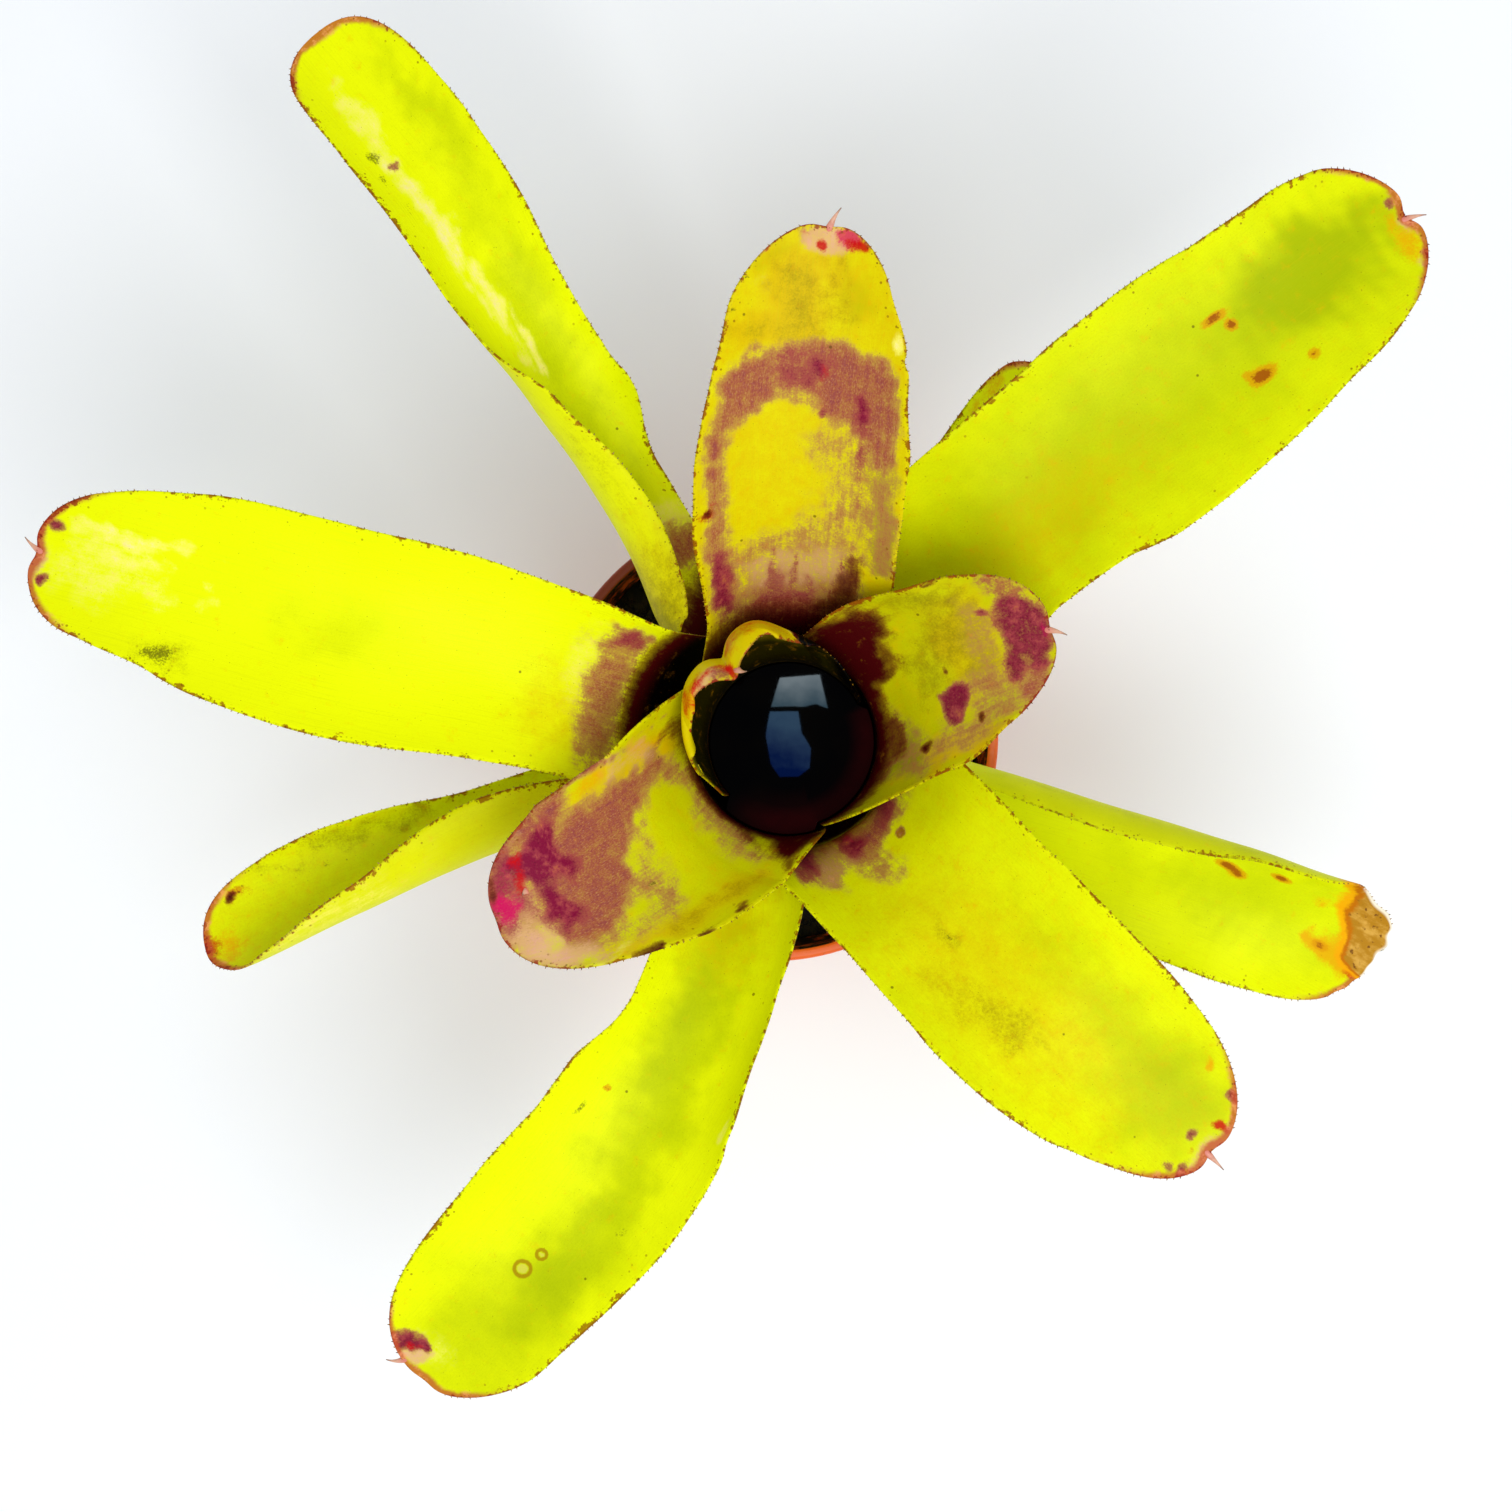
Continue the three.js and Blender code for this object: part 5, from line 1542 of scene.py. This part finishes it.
def crumb_tree():
    """Crumbs strewn over a surface, each turned, sized and dented in its own way."""
    sockets = {
        "Density": "Float",
        "Smallest": "Vector",
        "Largest": "Vector",
        "Dents": "Float",
        "Dent scale": "Float",
        "Facets": "Int",
        "Seed": "Int",
        "Material": "Material",
    }
    nodes, given, result = geometry_tree("crumbs", sockets)
    add = nodes.add

    def random_vector(smallest, largest):
        inputs = {0: smallest, 1: largest, "Seed": given["Seed"]}
        return add("FunctionNodeRandomValue", inputs, data_type="FLOAT_VECTOR")

    spread = {"Mesh": given["Geometry"], "Density": given["Density"], "Seed": given["Seed"]}
    strewn = add("GeometryNodeDistributePointsOnFaces", spread, "Points")
    roundness = {"Radius": 1.0, "Subdivisions": given["Facets"]}
    ball = add("GeometryNodeMeshIcoSphere", roundness, "Mesh")
    size = random_vector(given["Smallest"], given["Largest"])
    spin = random_vector((-0.5, -0.5, 0), (0.5, 0.5, math.tau))
    turned_by = add("FunctionNodeEulerToRotation", {"Euler": spin})
    balls = {"Points": strewn, "Instance": ball, "Rotation": turned_by, "Scale": size}
    placed = add("GeometryNodeInstanceOnPoints", balls)
    real = add("GeometryNodeRealizeInstances", {"Geometry": placed})
    where = {"Vector": add("GeometryNodeInputPosition"), "Scale": given["Dent scale"]}
    lumps = add("ShaderNodeTexNoise", where, "Color")
    centred = add("ShaderNodeVectorMath", {0: lumps, 1: (0.5, 0.5, 0.5)}, operation="SUBTRACT")
    dents = add("ShaderNodeVectorMath", {0: centred, "Scale": given["Dents"]}, operation="SCALE")
    shaped = add("GeometryNodeSetPosition", {"Geometry": real, "Offset": dents})
    painted = {"Geometry": shaped, "Material": given["Material"]}
    nodes.feed(result, add("GeometryNodeSetMaterial", painted))
    return nodes


def mix_top():
    """The part of the mix's top that shows, as a ring of points and faces."""
    shares = np.linspace(0, 1, CRUMB_RINGS)
    socket = stem_radius(MIX_MOUND) + 2
    wall = wall_radius(MIX_EDGE) - POT_WALL - 1.6
    angle = round_angles(CRUMB_SIDES)
    radius = (socket + (wall - socket) * shares)[:, None]
    centre = ROSETTE[:, None, None] * (1 - shares)[None, :, None]
    x = radius * np.cos(angle) + centre[0]
    y = radius * np.sin(angle) + centre[1]
    points = np.stack([x, y, mix_height(x, y)], axis=-1).reshape(-1, 3)
    return points, ring_quads(CRUMB_RINGS, CRUMB_SIDES)


def make_crumbs(peat, bark):
    """Loose peat and bark on top of the mix."""
    points, faces = mix_top()
    nodes = crumb_tree()
    kinds = {
        "peat_crumbs": {
            "Density": 170000.0,
            "Smallest": (0.5 * MM, 0.5 * MM, 0.4 * MM),
            "Largest": (1.5 * MM, 1.3 * MM, 1.1 * MM),
            "Dents": 1.2 * MM,
            "Dent scale": 700.0,
            "Facets": 1,
            "Seed": 11,
            "Material": peat,
        },
        "bark_chips": {
            "Density": 22000.0,
            "Smallest": (1.5 * MM, 0.9 * MM, 0.5 * MM),
            "Largest": (4.2 * MM, 2.2 * MM, 0.9 * MM),
            "Dents": 1.8 * MM,
            "Dent scale": 380.0,
            "Facets": 2,
            "Seed": 23,
            "Material": bark,
        },
    }
    for name, settings in kinds.items():
        made = make_object(name, points, faces, [], smooth=False)
        run_tree(made, nodes, settings)
        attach(made, BODY)


# ---- The stem and the water ----


def make_stem(fibre):
    """The short stem, ringed by old leaf scars."""
    heights = np.linspace(STEM_FOOT + 1, STEM_TOP - 1.5, STEM_RINGS)
    ringed = SCAR_DEPTH * np.abs(np.sin(math.pi * (BASE_TOP - heights) / BASE_STEP))
    taper = smoothstep(STEM_FOOT, STEM_FULL_HEIGHT, heights)
    full = stem_radius(np.maximum(heights, STEM_FULL_HEIGHT))
    radii = STEM_FOOT_RADIUS + (full - STEM_FOOT_RADIUS) * taper - ringed
    profile = [[0, STEM_FOOT], [4.6, STEM_FOOT], *np.stack([radii, heights], axis=1).tolist()]
    profile += [[radii[-1] - 1.4, STEM_TOP - 0.1], [0, STEM_TOP]]
    points, faces = turned(profile, STEM_SIDES)
    made = make_object("stem_core", points + ROSETTE, faces, [fibre])
    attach(made, BODY)
    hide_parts("stem")


def angle_from(degrees, azimuth):
    """An angle counted from an azimuth, between -180 and 180 degrees."""
    return (degrees - azimuth + 180) % 360 - 180


def tank_wall(angle):
    """How far the water reaches at an angle: to the innermost sheath that stands there."""
    names = list(LEAVES)
    reach = np.full(angle.shape, TANK_RADIUS + SHEATH_PITCH * 2 - WATER_GAP)
    for order in (1, 0):
        leaf = LEAVES[names[order]]
        radius = TANK_RADIUS + SHEATH_PITCH * order
        turn = angle_from(np.degrees(angle), leaf["azimuth"])
        to_left = math.degrees(min(SHEATH_HALF, leaf["left"]) / radius)
        to_right = math.degrees(min(SHEATH_HALF, leaf["right"]) / radius)
        inside = smoothstep(to_left + 4, to_left + 1, turn)
        inside = inside * smoothstep(-to_right - 4, -to_right - 1, turn)
        reach = reach * (1 - inside) + (radius - WATER_GAP) * inside
    return reach


def make_water(tea):
    """The water in the tank, level and still."""
    angle = round_angles(WATER_SIDES)
    wall = tank_wall(angle)
    lower = TANK_RADIUS - 0.7
    floor_radius = BASE_RADIUS + (TANK_RADIUS - BASE_RADIUS) * FLOOR_SHARE - 1
    rise = BASE_TOP + FLOOR_RISE
    rings = [
        (BASE_RADIUS + 0 * wall, WATER_BOTTOM),
        (floor_radius + 0 * wall, rise + 1),
        (lower - 1.2 + 0 * wall, rise + SHEATH_RISE / 2),
        (lower + 0 * wall, rise + SHEATH_RISE),
        (wall - 0.1, WATER_TOP - 6),
    ]
    shares = (1, 0.995, 0.96, 0.92, 0.87, 0.82, 0.76, 0.7, 0.5, 0.25)
    rings += [(wall * share, WATER_SURFACE) for share in shares]
    profile = [[0, WATER_BOTTOM], *[[1, height] for _, height in rings], [0, WATER_SURFACE]]
    points, faces = turned(profile, WATER_SIDES)
    for k, (radius, _) in enumerate(rings):
        ring = slice(k * WATER_SIDES, (k + 1) * WATER_SIDES)
        points[ring, 0] = radius * np.cos(angle)
        points[ring, 1] = radius * np.sin(angle)
    made = make_object("tank_water_body", points + ROSETTE, faces, [tea])
    from_middle = np.hypot(points[:, 0], points[:, 1])
    beside = (np.append(np.tile(wall, len(rings)), [1, 1]) - TANK_RADIUS + WATER_GAP) / SHEATH_PITCH
    turn = angle_from(np.degrees(np.arctan2(points[:, 1], points[:, 0])), SHALLOW_AZIMUTH)
    shallow = smoothstep(14.5, 21, from_middle) * np.clip(beside, 0, 1)
    shallow = shallow * smoothstep(95, 40, np.abs(turn))
    add_values(made.data, "shallow", shallow)
    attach(made, BODY)
    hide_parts("tank_water")


# ---- Studio ----

CAMERA_HEIGHT = 1.0
CAMERA_X = 0.0087
CAMERA_LENS = 80
FRAME_PIXELS = 1512
SHIFT_PIXELS = (-49, -21)  # the optical axis lies right of and above the middle of the frame

KEY_PLACE = (0.35, -0.6, 1.9)
KEY_TARGET = (0, 0, 0.1)
KEY_SIZE = (1.1, 1.0)
KEY_RADIANCE = 6.35
SKY_COLOUR = (0.965, 0.985, 1, 1)
SKY_STRENGTH = 0.63
FLOOR_HALF = 4000
PANE_HEIGHT = 1850
PANE_GLOW = 340
UPPER_PANE = [[-10.6, 44], [20.5, 46], [25.7, 21], [17, 24], [8, 21], [-16.7, 22]]
LOWER_PANE = [
    [-17.4, 18.5], [4, 17], [6, 0.2], [12.3, -10], [12.3, -24.6], [3.9, -30.8], [-10.5, -30.8],
    [-16.7, -21.5], [-20.3, -1.8],
]


def make_camera():
    """A camera that looks straight down at the rosette."""
    data = bpy.data.cameras.new("studio camera")
    data.lens = CAMERA_LENS
    data.shift_x = SHIFT_PIXELS[0] / FRAME_PIXELS
    data.shift_y = SHIFT_PIXELS[1] / FRAME_PIXELS
    camera = link_object("studio camera", data)
    camera.location = (CAMERA_X, 0, CAMERA_HEIGHT)
    bpy.context.scene.camera = camera


def area_light(name, place, target, size, radiance):
    """A rectangular light of a given radiance that faces a target."""
    data = bpy.data.lights.new(name, "AREA")
    data.shape = "RECTANGLE"
    data.size, data.size_y = size
    data.energy = radiance * math.pi * size[0] * size[1]
    light = link_object(name, data)
    light.location = place
    light.rotation_euler = (Vector(target) - Vector(place)).to_track_quat("-Z", "Y").to_euler()


def window_finish(name, low, high, foot, head):
    """A glowing pane with soft clouds, in one colour at its foot and another at its head."""
    pane = Finish(name)
    place = pane.place()
    clouds = pane.noise(place, 50, 3, 0.6) - 0.5
    rise = pane.step(pane.add("ShaderNodeSeparateXYZ", {"Vector": place}, 1), foot, head)
    glow = pane.paint(low, high, pane.math("ADD", rise, clouds * 1.2, clamp=True))
    pane.feed(pane.shader.inputs["Emission Color"], glow)
    pane.feed(pane.shader.inputs["Emission Strength"], PANE_GLOW)
    return pane.finish(color=colour("000000"), roughness=1.0)


def make_studio():
    """A pale floor, a broad soft light overhead, an even sky and a window for the water to mirror."""
    floor = Finish("pale floor")
    paper = floor.paint("f6f9ff", "f8fbff", floor.noise(floor.place(), 3, 2))
    surface = floor.finish(color=paper, roughness=0.9, specular=0.1)
    half = FLOOR_HALF
    corners = [[-half, -half, 0], [half, -half, 0], [half, half, 0], [-half, half, 0]]
    make_object("pale_floor", corners, [[0, 1, 2, 3]], [surface])

    world = bpy.data.worlds.new("studio")
    world.use_nodes = True
    sky = world.node_tree.nodes["Background"]
    sky.inputs["Color"].default_value = SKY_COLOUR
    sky.inputs["Strength"].default_value = SKY_STRENGTH
    bpy.context.scene.world = world
    area_light("key light", KEY_PLACE, KEY_TARGET, KEY_SIZE, KEY_RADIANCE)

    clouds = window_finish("cloudy pane", "4c6878", "a4b4bc", 0.018, 0.05)
    blue = window_finish("blue pane", "06205c", "446484", -0.034, 0.022)
    for name, outline, pane in (("upper_pane", UPPER_PANE, clouds), ("lower_pane", LOWER_PANE, blue)):
        corners = [[x, y, PANE_HEIGHT] for x, y in outline]
        make_object(name, corners, [list(range(len(corners)))[::-1]], [pane])
    bpy.context.scene.view_settings.view_transform = "Standard"


# ---- Assembly ----


def make_plant():
    """Pot, mix, stem, water and leaves."""
    make_pot(pot_finish())
    peat = mix_finish("damp peat", "0d0805", "2c1c10", 0.85)
    bark = mix_finish("bark chips", "1a0f08", "4a3018", 0.7)
    make_mix(peat)
    make_crumbs(peat, bark)
    make_stem(stem_finish())
    make_water(water_finish())
    young = leaf_finish("young leaf skin", "e8ee00", "a3ad00", "dccc00", "8c2a34", 1.2)
    grown = leaf_finish("grown leaf skin", "ebf500", "a7b800", "dfe00c", "b84a2a", 4.2)
    horn = spine_finish()
    margins = []
    for order, (name, leaf) in enumerate(LEAVES.items()):
        skin = young if name in YOUNG_LEAVES else grown
        margins += make_leaf(name, leaf, order, skin, horn)
    make_teeth(margins)


make_camera()
make_plant()
make_studio()

bpy.context.view_layer.update()
